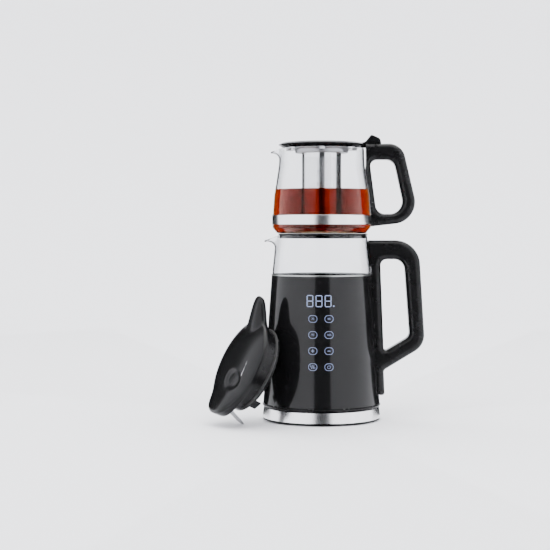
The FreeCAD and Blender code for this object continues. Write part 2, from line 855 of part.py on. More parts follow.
def build_kettle_housing():
    """Black tapered housing with a recess for the touch panel and a slot behind the display."""
    body = new_body("kettle_housing")
    revolve(body, housing_outer(size(0)) + housing_inner())
    panel = list(panel_outer(size(-4))) + list(reversed(panel_outer(s.panel_wall)))
    revolve(body, panel, angle=s.panel_angle, plane="YZ_Plane", cut=True)
    slot = [
        (-(s.housing_mid_radius + 8), s.display_bottom + 2),
        (-(s.housing_mid_radius - 12), s.display_bottom + 2),
        (-(s.housing_mid_radius - 12), s.display_top - 2),
        (-(s.housing_mid_radius + 8), s.display_top - 2),
    ]
    revolve(body, slot, angle=s.display_angle, plane="YZ_Plane", cut=True)
    for height in handle_screw_heights:
        extrude(body, "YZ_Plane",
                lambda sketch: circle(sketch, 0, height, s.screw_shank_radius + s.seat),
                s.base_radius + 5, cut=True, back=True)


def housing_radius_at(height, shrink=0):
    """Radius of the housing's straight lower or upper wall at a height."""
    height = size(height)
    if height.value < s.housing_mid_height.value:
        low, low_z = s.housing_low_radius, s.housing_bottom + s.seat
        high, high_z = s.housing_mid_radius, s.housing_mid_height
    else:
        low, low_z = s.housing_mid_radius, s.housing_mid_height
        high, high_z = s.housing_top_radius, s.housing_top
    return low + (high - low) * (height - low_z) / (high_z - low_z) - shrink


def panel_outer(shrink):
    """Corners along the front wall over the panel's height, on the -Y side."""
    return [
        (-housing_radius_at(s.panel_bottom, shrink), s.panel_bottom),
        (-(s.housing_mid_radius - shrink), s.housing_mid_height, 400),
        (-housing_radius_at(s.panel_top, shrink), s.panel_top),
    ]


def build_touch_panel():
    """Gloss panel let into the front of the housing, over the keys and the display."""
    body = new_body("touch_panel")
    corners = panel_outer(size(0)) + list(reversed(panel_outer(s.panel_wall - s.seat)))
    revolve(body, corners, angle=s.panel_angle - 0.2, plane="YZ_Plane")


def build_touch_electrodes():
    """Eight sensing pads on the housing's inner wall, one behind each key."""
    pads = []
    for row in range(4):
        height = s.key_low + s.key_pitch_up * row
        reach = housing_radius_at(height, s.housing_wall + 0.6)
        for side in (-0.5, 0.5):
            pad = document.addObject("Part::Box", "key_pad_%d_%d" % (row, side > 0))
            bind(pad, "Length", s.key_size)
            bind(pad, "Width", size(0.4))
            bind(pad, "Height", s.key_size * 0.8)
            turn = Size(math.degrees(s.key_pitch_round.value * side / reach.value),
                        "(%s * %g / %s * 57.29578)" % (s.key_pitch_round.text, side, reach.text))
            across, along = turned(reach, turn - 90)
            half = turned(s.key_size / 2, turn)
            spin = Rotation(Vector(0, 0, 1), turn.value)
            place(pad, across - half[0], along - half[1], height - s.key_size * 0.4, spin)
            pad.setExpression("Placement.Rotation.Angle", turn.text)
            pads.append(pad)
    group("touch_electrodes", pads)


def build_display_module():
    """Three-digit lamp block behind the panel, standing in the housing's slot."""
    body = new_body("display_module")
    front = housing_radius_at(s.display_top, s.panel_wall + 0.1)
    deep = s.jug_shoulder_radius + 0.1
    low, high = s.display_bottom + 2.4, s.display_top - 2.4
    revolve(body, [(-front, low), (-deep, low), (-deep, high), (-front, high)],
            angle=s.display_angle - 1.5, plane="YZ_Plane")


def build_housing_top_trim():
    """Pale trim ring that closes the gap between the housing and the glass."""
    body = new_body("housing_top_trim")
    low = s.housing_top + s.seat
    inner = s.jug_shoulder_radius + s.seat
    revolve(body, [
        (inner, low),
        (s.housing_top_radius, low),
        (s.housing_top_radius, low + s.trim_height, 0.5),
        (inner, low + s.trim_height),
    ])


def build_heating_plate():
    """Steel floor of the jug: a flat disc with a rounded rim."""
    body = new_body("heating_plate")
    rim = s.jug_bottom_radius + 2
    top = s.plate_height + s.plate_wall
    revolve(body, [
        (0, s.plate_height),
        (rim, s.plate_height),
        (rim, top, 0.8),
        (0, top),
    ])
    extrude(body, "XY_Plane",
            lambda sketch: circle(sketch, s.sensor_reach, 0, s.sensor_radius + s.seat),
            s.plate_wall * 3, offset=s.plate_height - s.plate_wall, cut=True, back=True)


def build_plate_support():
    """Ring wall that carries the steel floor on the kettle's underside."""
    rim = s.jug_bottom_radius + 2
    foot = ring_plate_top + s.seat
    wall = tube("plate_support", rim, rim - s.plate_wall, foot, s.plate_height - s.seat - foot)
    sub_parts.append(wall)


def build_heat_spreader():
    """Aluminium disc pressed under the steel floor, which spreads the element's heat."""
    body = new_body("heat_spreader")
    low = s.plate_height - s.spreader_wall
    revolve(body, [
        (0, low),
        (s.element_circle + 9, low),
        (s.element_circle + 9, s.plate_height - 0.02),
        (0, s.plate_height - 0.02),
    ])
    extrude(body, "XY_Plane",
            lambda sketch: circle(sketch, s.sensor_reach, 0, s.sensor_radius + s.seat),
            s.plate_wall * 3, offset=low - s.plate_wall, cut=True, back=True)


def build_heating_element():
    """Sheathed element, most of a turn under the spreader, with a flattened top."""
    body = new_body("heating_element")
    top = s.plate_height - s.spreader_wall - 0.02
    low = top - s.element_tube * 2
    left, right = s.element_circle - s.element_tube, s.element_circle + s.element_tube
    revolve(body, [
        (left, low, s.element_tube * 0.9),
        (right, low, s.element_tube * 0.9),
        (right, top),
        (left, top),
    ], angle=size(310))


def build_glass_seal():
    """Silicone seal between the jug's lower edge and the steel floor."""
    body = new_body("glass_seal")
    low = s.plate_height + s.plate_wall + 0.02
    inner = s.jug_bottom_radius - s.glass_wall - 1
    outer = s.jug_bottom_radius + 1.6
    revolve(body, [
        (inner, low),
        (outer, low),
        (outer, low + 5, 0.6),
        (s.jug_bottom_radius + 0.15, low + 5),
        (s.jug_bottom_radius + 0.15, s.jug_bottom - 0.02),
        (inner, s.jug_bottom - 0.02),
    ])


def build_temperature_sensor():
    """Probe that reads the water's heat, up through the floor of the jug."""
    body = new_body("temperature_sensor")
    low = s.plate_height - s.spreader_wall - 3.8
    extrude(body, "XY_Plane",
            lambda sketch: circle(sketch, s.sensor_reach, 0, s.sensor_radius),
            s.plate_wall + s.spreader_wall + 12, offset=low)
    round_edges(body, s.sensor_radius * 0.6,
                lambda edge: edge.BoundBox.ZMin > s.plate_height.value + 2 and
                edge.BoundBox.ZLength < 1e-4)


def build_control_board():
    """Electronics board on the posts round the coupler, under the element."""
    body = new_body("control_board")
    low = s.board_height + 0.02
    revolve(body, [
        (collar_radius + 4, low),
        (s.element_circle + 18, low),
        (s.element_circle + 18, low + s.board_wall),
        (collar_radius + 4, low + s.board_wall),
    ], angle=size(200))


# ---------------------------------------------------------------------------------------------
# Kettle: glass, mouth and handle
# ---------------------------------------------------------------------------------------------


def build_kettle_glass():
    """Glass jug: nearly straight wall, drawn in to its mouth, with a pouring lip."""
    body = new_body("kettle_glass")
    low = s.jug_bottom
    wall = s.glass_wall
    revolve(body, [
        (0, low),
        (s.jug_bottom_radius, low),
        (s.jug_shoulder_radius, s.jug_shoulder, 90),
        (s.jug_rim_radius, s.jug_rim),
        (0, s.jug_rim),
    ])
    loft(body, "YZ_Plane", [
        (-(s.jug_rim_radius - 9), s.jug_spout_half_width, s.jug_rim, s.jug_spout_depth),
        (-(s.jug_rim_radius + 5), s.jug_spout_half_width * 0.68, s.jug_rim - s.jug_spout_drop * 0.25,
         s.jug_spout_depth * 0.66),
        (-s.jug_spout_reach, s.jug_spout_half_width * 0.3, s.jug_rim - s.jug_spout_drop,
         s.jug_spout_depth * 0.22),
    ])
    loft(body, "YZ_Plane", [
        (-(s.jug_rim_radius - 14), s.jug_spout_half_width - wall * 0.6, s.jug_rim + 5,
         s.jug_spout_depth + 4.4),
        (-(s.jug_rim_radius + 5), s.jug_spout_half_width * 0.68 - wall,
         s.jug_rim - s.jug_spout_drop * 0.25 + 4, s.jug_spout_depth * 0.66 + 2),
        (-(s.jug_spout_reach + 2), s.jug_spout_half_width * 0.3 - wall * 0.6,
         s.jug_rim - s.jug_spout_drop + 4, s.jug_spout_depth * 0.22 + 2.4),
    ], cut=True)
    revolve(body, [
        (0, low - 1),
        (s.jug_bottom_radius - wall, low - 1),
        (s.jug_shoulder_radius - wall, s.jug_shoulder, 88),
        (s.jug_rim_radius - wall, s.jug_rim + 1),
        (0, s.jug_rim + 1),
    ], cut=True)


def build_mouth_ring():
    """Steel ring on the kettle's glass rim that the teapot stands on, open at the spout."""
    body = new_body("mouth_ring")
    inner = s.jug_rim_radius - s.glass_wall - 0.2
    revolve(body, [
        (inner - s.mouth_ring_wall, s.jug_rim - 4),
        (inner, s.jug_rim - 4),
        (inner, s.jug_rim + 0.1),
        (s.jug_rim_radius + 0.3, s.jug_rim + 0.1),
        (s.jug_rim_radius + 0.3, s.mouth_ring_top, 0.5),
        (inner - s.mouth_ring_wall, s.mouth_ring_top),
    ], angle=size(360) - s.mouth_ring_gap_angle)


def jug_clearance(gap):
    """Corners of the space that housing, trim, glass and mouth ring take, widened by a gap."""
    return [
        (0, s.handle_foot - 6),
        (housing_radius_at(s.handle_foot) + gap + 0.5, s.handle_foot - 6),
        (s.housing_mid_radius + gap + 0.35, s.housing_mid_height),
        (s.housing_top_radius + gap, s.housing_top),
        (s.housing_top_radius + gap, s.housing_top + s.trim_height + 0.6),
        (s.jug_shoulder_radius + gap + s.pad_gap, s.jug_shoulder + 3),
        (s.jug_rim_radius + gap + s.pad_gap, s.jug_rim),
        (0, s.jug_rim),
    ]


def handle_corners():
    """Outer outline of the kettle's handle, from its top at the glass round to its foot."""
    inside = s.jug_rim_radius - 8
    return [
        (inside, s.handle_top),
        (s.handle_reach_top, s.handle_top, 32),
        (s.handle_reach_low, s.handle_low_corner, 24),
        (s.handle_spine - 0.6, s.handle_low_join, 5),
        (s.handle_spine + 0.8, s.handle_foot, 3.5),
        (inside, s.handle_foot),
    ]


def build_kettle_handle():
    """Handle moulding: closed loop with a long spine that hugs the housing and the glass."""
    body = new_body("kettle_handle")
    extrude(body, "XZ_Plane", lambda sketch: outline(sketch, handle_corners()),
            s.handle_width, both_ways=True)
    extrude(body, "XZ_Plane", lambda sketch: outline(sketch, [
        (s.gap_left_top, s.gap_top, 8),
        (s.gap_right_top, s.gap_top, 14),
        (s.gap_right_low, s.gap_low_right, 10),
        (s.gap_left_low, s.gap_low_left, 3),
    ]), s.handle_width * 2, both_ways=True, cut=True)
    round_edges(body, s.handle_round, side_edges(s.handle_width / 2))
    revolve(body, jug_clearance(s.play), cut=True)
    for height in handle_screw_heights:
        reach = housing_radius_at(height, s.housing_wall) + handle_screw_length
        extrude(body, "YZ_Plane",
                lambda sketch: circle(sketch, 0, height, s.screw_shank_radius + s.seat),
                reach + s.play, cut=True, back=True)


def build_handle_pad():
    """Soft pad between the handle and the glass neck."""
    body = new_body("handle_pad")
    low = s.jug_shoulder + 6
    high = s.jug_rim - 8
    lean = (s.jug_shoulder_radius - s.jug_rim_radius) / (s.jug_rim - s.jug_shoulder)
    low_radius = s.jug_shoulder_radius - lean * 6 + 0.1
    high_radius = s.jug_rim_radius + lean * 8 + 0.1
    revolve(body, [
        (low_radius, low),
        (low_radius + s.pad_gap - 0.1, low),
        (high_radius + s.pad_gap - 0.1, high),
        (high_radius, high),
    ], angle=s.pad_width)


def build_handle_screws():
    """Three screws that hold the handle's spine to the housing, driven from the inside."""
    screws = []
    head = size(1.6)
    for index, height in enumerate(handle_screw_heights):
        wall = housing_radius_at(height, s.housing_wall)
        fastener = screw("handle_screw_%d" % index, 3.0, head, s.screw_shank_radius,
                         handle_screw_length)
        place(fastener, wall - head - 0.2, 0, height, Rotation(Vector(0, 1, 0), 90))
        screws.append(fastener)
    group("handle_screws", screws)


# ---------------------------------------------------------------------------------------------
# Teapot
# ---------------------------------------------------------------------------------------------

pot_bottom = s.mouth_ring_top + s.play


def pot_wall(shrink):
    """Corners of the teapot's wall above its bulge, moved inwards by a distance."""
    return [
        (s.pot_bulge_radius - shrink, s.pot_bulge_height, 4.5 - shrink * 0.5),
        (s.pot_band_radius - shrink, s.pot_band_bottom - 0.5),
        (s.pot_band_radius - shrink, s.pot_band_top + 0.5),
        (s.pot_shoulder_radius - shrink, s.pot_shoulder_height, 60),
        (s.pot_neck_radius - shrink, s.pot_neck_height, 24),
        (s.pot_rim_radius - shrink, s.pot_rim),
    ]


def build_teapot_glass():
    """Glass teapot: foot ring, bulge above it, waist for the band, drawn-in neck and a lip."""
    body = new_body("teapot_glass")
    wall = s.glass_wall
    spout = s.pot_spout_half_width
    depth = s.pot_spout_depth
    dip = s.pot_spout_drop
    revolve(body, [
        (0, pot_bottom + 1.6),
        (s.pot_foot_radius - 4, pot_bottom + 1.6),
        (s.pot_foot_radius - 3.4, pot_bottom),
        (s.pot_foot_radius - 0.6, pot_bottom),
    ] + pot_wall(size(0)) + [(0, s.pot_rim)])
    loft(body, "YZ_Plane", [
        (-(s.pot_rim_radius - 8), spout, s.pot_rim, depth),
        (-(s.pot_rim_radius + 3), spout * 0.66, s.pot_rim - dip * 0.25, depth * 0.66),
        (-s.pot_spout_reach, spout * 0.3, s.pot_rim - dip, depth * 0.24),
    ])
    loft(body, "YZ_Plane", [
        (-(s.pot_rim_radius - 13), spout - wall * 0.6, s.pot_rim + 5, depth + 4.4),
        (-(s.pot_rim_radius + 3), spout * 0.66 - wall, s.pot_rim - dip * 0.25 + 4, depth * 0.66 + 2),
        (-(s.pot_spout_reach + 2), spout * 0.3 - wall * 0.6, s.pot_rim - dip + 4, depth * 0.24 + 2.4),
    ], cut=True)
    revolve(body, [(0, pot_bottom + 4.2), (s.pot_foot_radius - 2.5, pot_bottom + 4.2, 3)]
            + pot_wall(wall) + [(s.pot_rim_radius - wall, s.pot_rim + 1), (0, s.pot_rim + 1)],
            cut=True)


def build_teapot_band():
    """Steel clamp band round the teapot's waist."""
    body = new_body("teapot_band")
    inner = s.pot_band_radius + s.seat
    revolve(body, [
        (inner, s.pot_band_bottom),
        (inner + s.pot_band_wall, s.pot_band_bottom),
        (inner + s.pot_band_wall, s.pot_band_top),
        (inner, s.pot_band_top),
    ])
    extrude(body, "XZ_Plane", lambda sketch: outline(sketch, band_tail(size(0))),
            s.tail_width, both_ways=True)
    extrude(body, "XY_Plane", lambda sketch: circle(
        sketch, band_screw_reach, 0, s.screw_shank_radius + s.seat),
        s.pot_rim, cut=True, back=True)


band_level = (s.pot_band_bottom + s.pot_band_top) / 2
band_screw_reach = s.pot_band_radius + 9.5


def band_tail(gap):
    """Side view of the tab on the band that the handle is screwed to."""
    near = s.pot_band_radius + s.pot_band_wall * 0.6
    far = band_screw_reach + 4.5 + gap
    low, high = band_level - 0.8 - gap, band_level + 0.8 + gap
    return [(near, low), (far, low), (far, high), (near, high)]


def pot_clearance(gap):
    """Corners of the space that the teapot's glass and band take, widened by a gap."""
    return [
        (0, pot_bottom),
        (s.pot_bulge_radius + gap, pot_bottom),
        (s.pot_bulge_radius + gap, s.pot_band_bottom - 1),
        (s.pot_band_radius + s.pot_band_wall + gap, s.pot_band_bottom - 0.5),
        (s.pot_band_radius + s.pot_band_wall + gap, s.pot_band_top + 0.5),
        (s.pot_shoulder_radius + gap + 0.8, s.pot_shoulder_height),
        (s.pot_neck_radius + gap + 0.5, s.pot_neck_height),
        (s.pot_rim_radius + gap, s.pot_rim + s.seat),
        (0, s.pot_rim + s.seat),
    ]


band_screw_head = size(1.8)
band_screw_head_radius = size(3.0)
band_screw_seat = s.grip_low_join + 3.6


def build_teapot_handle():
    """Teapot handle: closed loop along the glass, with two ears for the lid's hinge at its top."""
    body = new_body("teapot_handle")
    root = s.pot_rim_radius + 2.2
    extrude(body, "XZ_Plane", lambda sketch: outline(sketch, [
        (root, s.grip_top),
        (s.grip_top_reach, s.grip_top, 21),
        (s.grip_low_reach, s.grip_low_corner, 28),
        (s.pot_band_radius - 2, s.grip_low_join),
        (s.pot_band_radius - 12, s.grip_low_join),
        (s.pot_band_radius - 12, s.pot_shoulder_height),
        (root, s.pot_neck_height),
    ]), s.grip_width, both_ways=True)
    extrude(body, "XZ_Plane", lambda sketch: outline(sketch, [
        (s.loop_left_top, s.loop_top, 8),
        (s.loop_right_top, s.loop_top, 12),
        (s.loop_right_low, s.loop_low, 16),
        (s.loop_left_low, s.loop_low, 12),
    ]), s.grip_width * 2, both_ways=True, cut=True)
    round_edges(body, s.grip_round,
                side_edges(s.grip_width / 2, nearest=s.pot_rim_radius.value + 3))
    revolve(body, pot_clearance(s.play), cut=True)
    pocket = s.hinge_pocket_radius
    extrude(body, "XZ_Plane", lambda sketch: circle(sketch, s.hinge_reach, s.hinge_height, pocket),
            s.lug_width + s.play * 2, both_ways=True, cut=True)
    extrude(body, "XZ_Plane", lambda sketch: outline(sketch, [
        (root - 4, s.hinge_height - 6.5),
        (s.hinge_reach, s.hinge_height - 6.5),
        (s.hinge_reach, s.grip_top + 4),
        (root - 4, s.grip_top + 4),
    ]), s.lug_width + s.play * 2, both_ways=True, cut=True)
    extrude(body, "XZ_Plane", lambda sketch: circle(
        sketch, s.hinge_reach, s.hinge_height, s.hinge_pin_radius + s.seat),
        s.grip_width * 2, both_ways=True, cut=True)
    extrude(body, "XZ_Plane", lambda sketch: outline(sketch, band_tail(s.play)),
            s.tail_width + s.play * 2, both_ways=True, cut=True)
    low = s.grip_low_join - 4
    extrude(body, "XY_Plane", lambda sketch: circle(
        sketch, band_screw_reach, 0, s.screw_shank_radius + s.seat),
        band_screw_seat + 9.4 - low, offset=low, cut=True, back=True)
    extrude(body, "XY_Plane", lambda sketch: circle(
        sketch, band_screw_reach, 0, band_screw_head_radius + s.play),
        band_screw_seat - low, offset=low, cut=True, back=True)


def build_lid_hinge_pin():
    """Steel pin of the lid's hinge, through both ears of the handle."""
    pin = document.addObject("Part::Cylinder", "lid_hinge_pin")
    bind(pin, "Radius", s.hinge_pin_radius)
    bind(pin, "Height", s.grip_width - 5)
    place(pin, s.hinge_reach, (s.grip_width - 5) / 2, s.hinge_height, Rotation(Vector(1, 0, 0), 90))
    pin.Label = "lid_hinge_pin"
    sub_parts.append(pin)


def build_band_screw():
    """Screw up through the handle's lower end and the band's tab, its head let in."""
    fastener = screw("band_screw", band_screw_head_radius, band_screw_head, s.screw_shank_radius, 9)
    place(fastener, band_screw_reach, 0, band_screw_seat - band_screw_head)
    fastener.Label = "band_screw"
    sub_parts.append(fastener)


def build_infuser_tube():
    """Steel infuser tube with a ring of fine slots low in its wall."""
    body = new_body("infuser_tube")
    wall = s.infuser_wall
    revolve(body, [
        (s.infuser_radius - wall, s.infuser_bottom),
        (s.infuser_radius, s.infuser_bottom),
        (s.infuser_radius, s.collar_bottom + wall),
        (s.infuser_radius - wall, s.collar_bottom + wall),
    ])
    slot = extrude(body, "XZ_Plane", lambda sketch: box_outline(
        sketch, s.slot_width, s.slot_low, s.slot_height), s.infuser_radius * 2, cut=True)
    repeat_round(body, [slot], 12)


def build_infuser_floor():
    """Floor of the infuser, pressed into the tube's lower end."""
    body = new_body("infuser_floor")
    inner = s.infuser_radius - s.infuser_wall - 0.02
    revolve(body, [
        (0, s.infuser_bottom + 1),
        (inner - 3, s.infuser_bottom + 1, 2),
        (inner - 2, s.infuser_bottom),
        (inner, s.infuser_bottom),
        (inner, s.infuser_bottom + 4),
        (inner - 0.6, s.infuser_bottom + 4),
        (inner - 0.6, s.infuser_bottom + 1.6),
        (0, s.infuser_bottom + 1.6),
    ])


def build_infuser_collar():
    """Stepped steel collar of the infuser; four arms rest on the teapot's rim."""
    body = new_body("infuser_collar")
    wall = s.infuser_wall
    top = s.pot_rim + s.seat + wall
    revolve(body, [
        (s.infuser_radius + 0.02, s.collar_bottom),
        (s.collar_radius - wall, s.collar_bottom, 1.2),
        (s.collar_radius, top - wall),
        (s.collar_radius + 2.4, top - wall),
        (s.collar_radius + 2.4, top),
        (s.collar_radius - wall, top),
        (s.collar_radius - wall * 2, s.collar_bottom + wall),
        (s.infuser_radius + 0.02, s.collar_bottom + wall),
    ])
    arm = extrude(body, "XY_Plane", lambda sketch: outline(sketch, spoke(
        45, s.collar_radius + 0.4, s.pot_rim_radius - 0.3, s.arm_width)), wall, offset=top - wall)
    repeat_round(body, [arm], 4)


def spoke(angle, inner, outer, width):
    """Corners of a bar of a width that points away from the axis at an angle."""
    side = turned(size(width) / 2, angle + 90)
    near = turned(inner, angle)
    far = turned(outer, angle)
    return [
        (near[0] - side[0], near[1] - side[1]),
        (far[0] - side[0], far[1] - side[1]),
        (far[0] + side[0], far[1] + side[1]),
        (near[0] + side[0], near[1] + side[1]),
    ]


# ---------------------------------------------------------------------------------------------
# Teapot lid
# ---------------------------------------------------------------------------------------------


def build_teapot_lid():
    """Lid of the teapot: thin dome with a knife edge, thumb lug and hinge knuckle."""
    body = new_body("teapot_lid")
    reach, height = s.hinge_reach, s.hinge_height
    extrude(body, "XZ_Plane", lambda sketch: outline(sketch, [
        (s.jaw_outer + 1, s.cap_bottom + 0.6),
        (s.jaw_outer + 1, s.cap_top - 1.4),
        (reach - 13.5, s.cap_top - 1.6, 12),
        (reach - 5.4, height + 15.4, 1.6),
        (reach + 6.2, height + 10.6, 6),
        (reach + 8, height, 4),
        (reach + 4, height - 6, 4),
        (reach - 5, height - 6, 4),
        (reach - 8, s.cap_bottom, 2),
    ]), s.lug_width, both_ways=True)
    round_edges(body, 1.3, side_edges(s.lug_width / 2))
    revolve(body, [
        (0, s.cap_bottom + 1.4),
        (s.jaw_outer + 0.3, s.cap_bottom + 1.4),
        (s.jaw_outer + 0.3, s.cap_bottom),
        (s.cap_edge_radius - 6, s.cap_bottom),
        (s.cap_edge_radius, s.cap_edge_height - 0.6),
        (s.cap_edge_radius, s.cap_edge_height),
        (s.cap_edge_radius - 4.5, s.cap_top - 1.7, 8),
        (0, s.cap_top),
    ])
    extrude(body, "XZ_Plane", lambda sketch: circle(
        sketch, reach, height, s.hinge_pin_radius + s.running_fit),
        s.lug_width * 2, both_ways=True, cut=True)


def build_teapot_lid_inner():
    """Inner plate of the teapot's lid, with four jaws that centre it in the mouth."""
    body = new_body("teapot_lid_inner")
    revolve(body, [
        (0, s.cap_bottom),
        (s.jaw_outer, s.cap_bottom),
        (s.jaw_outer, s.cap_bottom + 1.3),
        (0, s.cap_bottom + 1.3),
    ])
    jaw = extrude(body, "YZ_Plane", lambda sketch: box_outline(
        sketch, size(8), s.cap_bottom - s.jaw_depth, s.jaw_depth), size(6.4),
        offset=s.jaw_outer - 6.6)
    repeat_round(body, [jaw], 4)


# ---------------------------------------------------------------------------------------------
# Kettle lid, taken off
# ---------------------------------------------------------------------------------------------


def leaning():
    """Placement of the taken-off lid: on its strainer's tip, its top turned outwards and up."""
    lean = math.radians(s.lid_lean.value)
    turn = math.radians(s.lid_turn.value)
    facing = Vector(math.cos(turn), math.sin(turn), 0)
    up = Vector(0, 0, 1)
    top = facing * math.cos(lean) + up * math.sin(lean)
    back = up * math.cos(lean) - facing * math.sin(lean)
    across = top.cross(back)
    rotation = Rotation(back, across, top, "ZXY")
    tip_reach = s.plug_radius.value + 1.4 + s.strainer_slope.value + s.strainer_wall.value
    tip_depth = s.strainer_length.value + 2
    rise = tip_reach * math.cos(lean) + tip_depth * math.sin(lean) + s.play.value
    across_x, along_y = turned(s.housing_low_radius + s.lid_stand_out, s.lid_stand_angle)
    return Placement(Vector(across_x.value, along_y.value, rise), rotation)


def build_kettle_lid():
    """Kettle lid's dome with a beak over the spout, a thumb lug behind and a finger recess."""
    body = new_body("kettle_lid")
    rim, shell, edge = s.lid_radius, s.lid_shell, s.lid_edge
    reach, tip = s.lid_beak_reach, s.lid_beak_half_width
    extrude(body, "XY_Plane", lambda sketch: outline(sketch, [
        (-(rim * 0.42), -(rim * 0.9)),
        (-(rim * 0.42), rim * 0.9),
        (-reach, tip, 30),
        (-reach, -tip, 30),
    ]), edge + s.lid_beak_rise, offset=-edge)
    round_edges(body, 5.6, lambda rim_edge: rim_edge.BoundBox.ZMin > 1 and
                rim_edge.BoundBox.XMin < -30 and rim_edge.BoundBox.XLength > 0.01 or
                abs(rim_edge.BoundBox.XMin + reach.value) < 1e-4 and rim_edge.BoundBox.ZMin > 1)
    revolve(body, [
        (0, s.lid_rise),
        (rim - 16, s.lid_rise - 1, 48),
        (rim, 1.5, 5),
        (rim - 1.2, -edge),
        (rim - 3.4, -edge),
        (rim - 3.4, 0.5),
        (rim - 16, s.lid_rise - 1 - shell, 46),
        (0, s.lid_rise - shell),
    ])
    revolve(body, [
        (0, -edge - 1),
        (rim - 3.4, -edge - 1),
        (rim - 3.4, 0.5),
        (0, 0.5),
    ], cut=True)
    horn, depth, crest = s.horn_reach, s.horn_depth, s.horn_height
    wide, narrow = s.horn_base_half_width, s.horn_tip_half_width
    extrude(body, "XZ_Plane", lambda sketch: outline(sketch, [
        (rim - 3.2, -edge),
        (rim - 3.2, 0.6),
        (s.horn_base, s.lid_rise - 4),
        (s.horn_base, s.lid_rise - 1.4),
        (rim - 6, s.lid_rise + 0.6, 40),
        (horn - 12, crest, 8),
        (horn, crest - 4, 3.6),
        (horn - 4, crest - 9.5, 4),
        (rim + 12, crest - 15, 14),
        (rim + 3, -depth, 5),
    ]), wide * 2, both_ways=True)
    for side in (1, -1):
        extrude(body, "XY_Plane", lambda sketch: outline(sketch, [
            (rim - 4, wide * side),
            (rim - 2, (wide - 1.6) * side, 4),
            (horn - 16, (narrow + 3) * side, 30),
            (horn - 3, narrow * side, 20),
            (horn + 3, (narrow - 2) * side),
            (horn + 3, (wide + 6) * side),
            (rim - 4, (wide + 6) * side),
        ]), size(60), offset=size(30), cut=True)
    extrude(body, "XY_Plane", lambda sketch: outline(sketch, [
        (-38, 10, 6),
        (-38, -10, 6),
        (-22, -19, 8),
        (-10, -18, 5),
        (-16, 0, 20),
        (-10, 18, 5),
        (-22, 19, 8),
    ]), s.lid_rise, offset=s.lid_rise - 1.4, cut=True, back=True)


def build_kettle_lid_plug():
    """Plug of the kettle's lid: a cup that drops into the mouth, flanged under the dome."""
    body = new_body("kettle_lid_plug")
    flange = s.lid_radius - 3.4 - s.seat
    low = -s.plug_depth
    inner = s.plug_radius - s.plug_wall
    revolve(body, [
        (0, low),
        (s.plug_radius, low, 1.4),
        (s.plug_radius, -1.5),
        (flange, -1.5),
        (flange, 0.45),
        (inner, 0.45),
        (inner, low + s.plug_wall),
        (0, low + s.plug_wall),
    ])


def build_lid_seal():
    """Seal ring round the plug, open in front of the strainer."""
    body = new_body("kettle_lid_seal")
    inner = s.plug_radius + s.seat
    low = -s.plug_depth + 3
    revolve(body, [
        (inner, low),
        (s.seal_radius, low + 1, 0.6),
        (s.seal_radius, low + 2.4, 0.6),
        (inner, low + 3.4),
    ], angle=size(360) - s.mouth_ring_gap_angle)


def build_spout_strainer():
    """Steel tongue that strains the spout, hanging from the plug's flange."""
    body = new_body("spout_strainer")
    root = s.plug_radius + 1.4
    wall, slope, length = s.strainer_wall, s.strainer_slope, s.strainer_length
    extrude(body, "XZ_Plane", lambda sketch: outline(sketch, [
        (-root, -1.55),
        (-(root + wall), -1.55),
        (-(root + wall), -6),
        (-(root + wall + slope), -(length + 2)),
        (-(root + slope), -(length + 2)),
        (-root, -6),
    ]), s.strainer_half_width * 2, both_ways=True)
    corner, low = s.strainer_half_width, -(length + 2)
    for side in (1, -1):
        extrude(body, "YZ_Plane", lambda sketch: outline(sketch, [
            ((corner + 1) * side, low + corner * 0.9),
            (corner * 0.96 * side, low + corner * 0.9),
            (corner * 0.86 * side, low + corner * 0.3, corner * 0.7),
            (corner * 0.3 * side, low),
            (corner * 0.3 * side, low - 2),
            ((corner + 1) * side, low - 2),
        ]), root * 2, cut=True, back=False)


def build_lid_clips():
    """Two clip tabs on the plug's lower edge."""
    clips = []
    for side in (-1, 1):
        clip = document.addObject("Part::Box", "lid_clip_%d" % (side > 0))
        bind(clip, "Length", s.plug_wall)
        bind(clip, "Width", s.clip_width)
        bind(clip, "Height", s.clip_depth)
        clips.append(clip)
        angle = s.clip_angle * side + 180
        reach = turned(s.plug_radius - s.plug_wall - 2, angle)
        half = turned(s.clip_width / 2, angle + 90)
        spin = Rotation(Vector(0, 0, 1), angle.value)
        place(clip, reach[0] - half[0], reach[1] - half[1],
              -(s.plug_depth + s.clip_depth + 0.02), spin)
    group("lid_clips", clips)


# ---------------------------------------------------------------------------------------------
# Everything built, checked and written
# ---------------------------------------------------------------------------------------------


def build_all():
    """Build every sub-part; the taken-off lid's parts share one leaning placement."""
    build_base_bottom_cover()
    build_base_top_cover()
    build_base_steel_band()
    build_cord_outlet()
    build_base_feet()
    build_base_screws()
    build_base_socket()
    build_base_contacts()
    build_kettle_coupler()
    build_coupler_contacts()
    build_kettle_bottom_ring()
    build_kettle_housing()
    build_touch_panel()
    build_touch_electrodes()
    build_display_module()
    build_housing_top_trim()
    build_heating_plate()
    build_plate_support()
    build_heat_spreader()
    build_heating_element()
    build_glass_seal()
    build_temperature_sensor()
    build_control_board()
    build_kettle_glass()
    build_mouth_ring()
    build_kettle_handle()
    build_handle_pad()
    build_handle_screws()
    build_teapot_glass()
    build_teapot_band()
    build_teapot_handle()
    build_lid_hinge_pin()
    build_band_screw()
    build_infuser_tube()
    build_infuser_floor()
    build_infuser_collar()
    build_teapot_lid()
    build_teapot_lid_inner()
    first = len(sub_parts)
    build_kettle_lid()
    build_kettle_lid_plug()
    build_lid_seal()
    build_spout_strainer()
    build_lid_clips()
    for piece in sub_parts[first:]:
        piece.Placement = leaning()


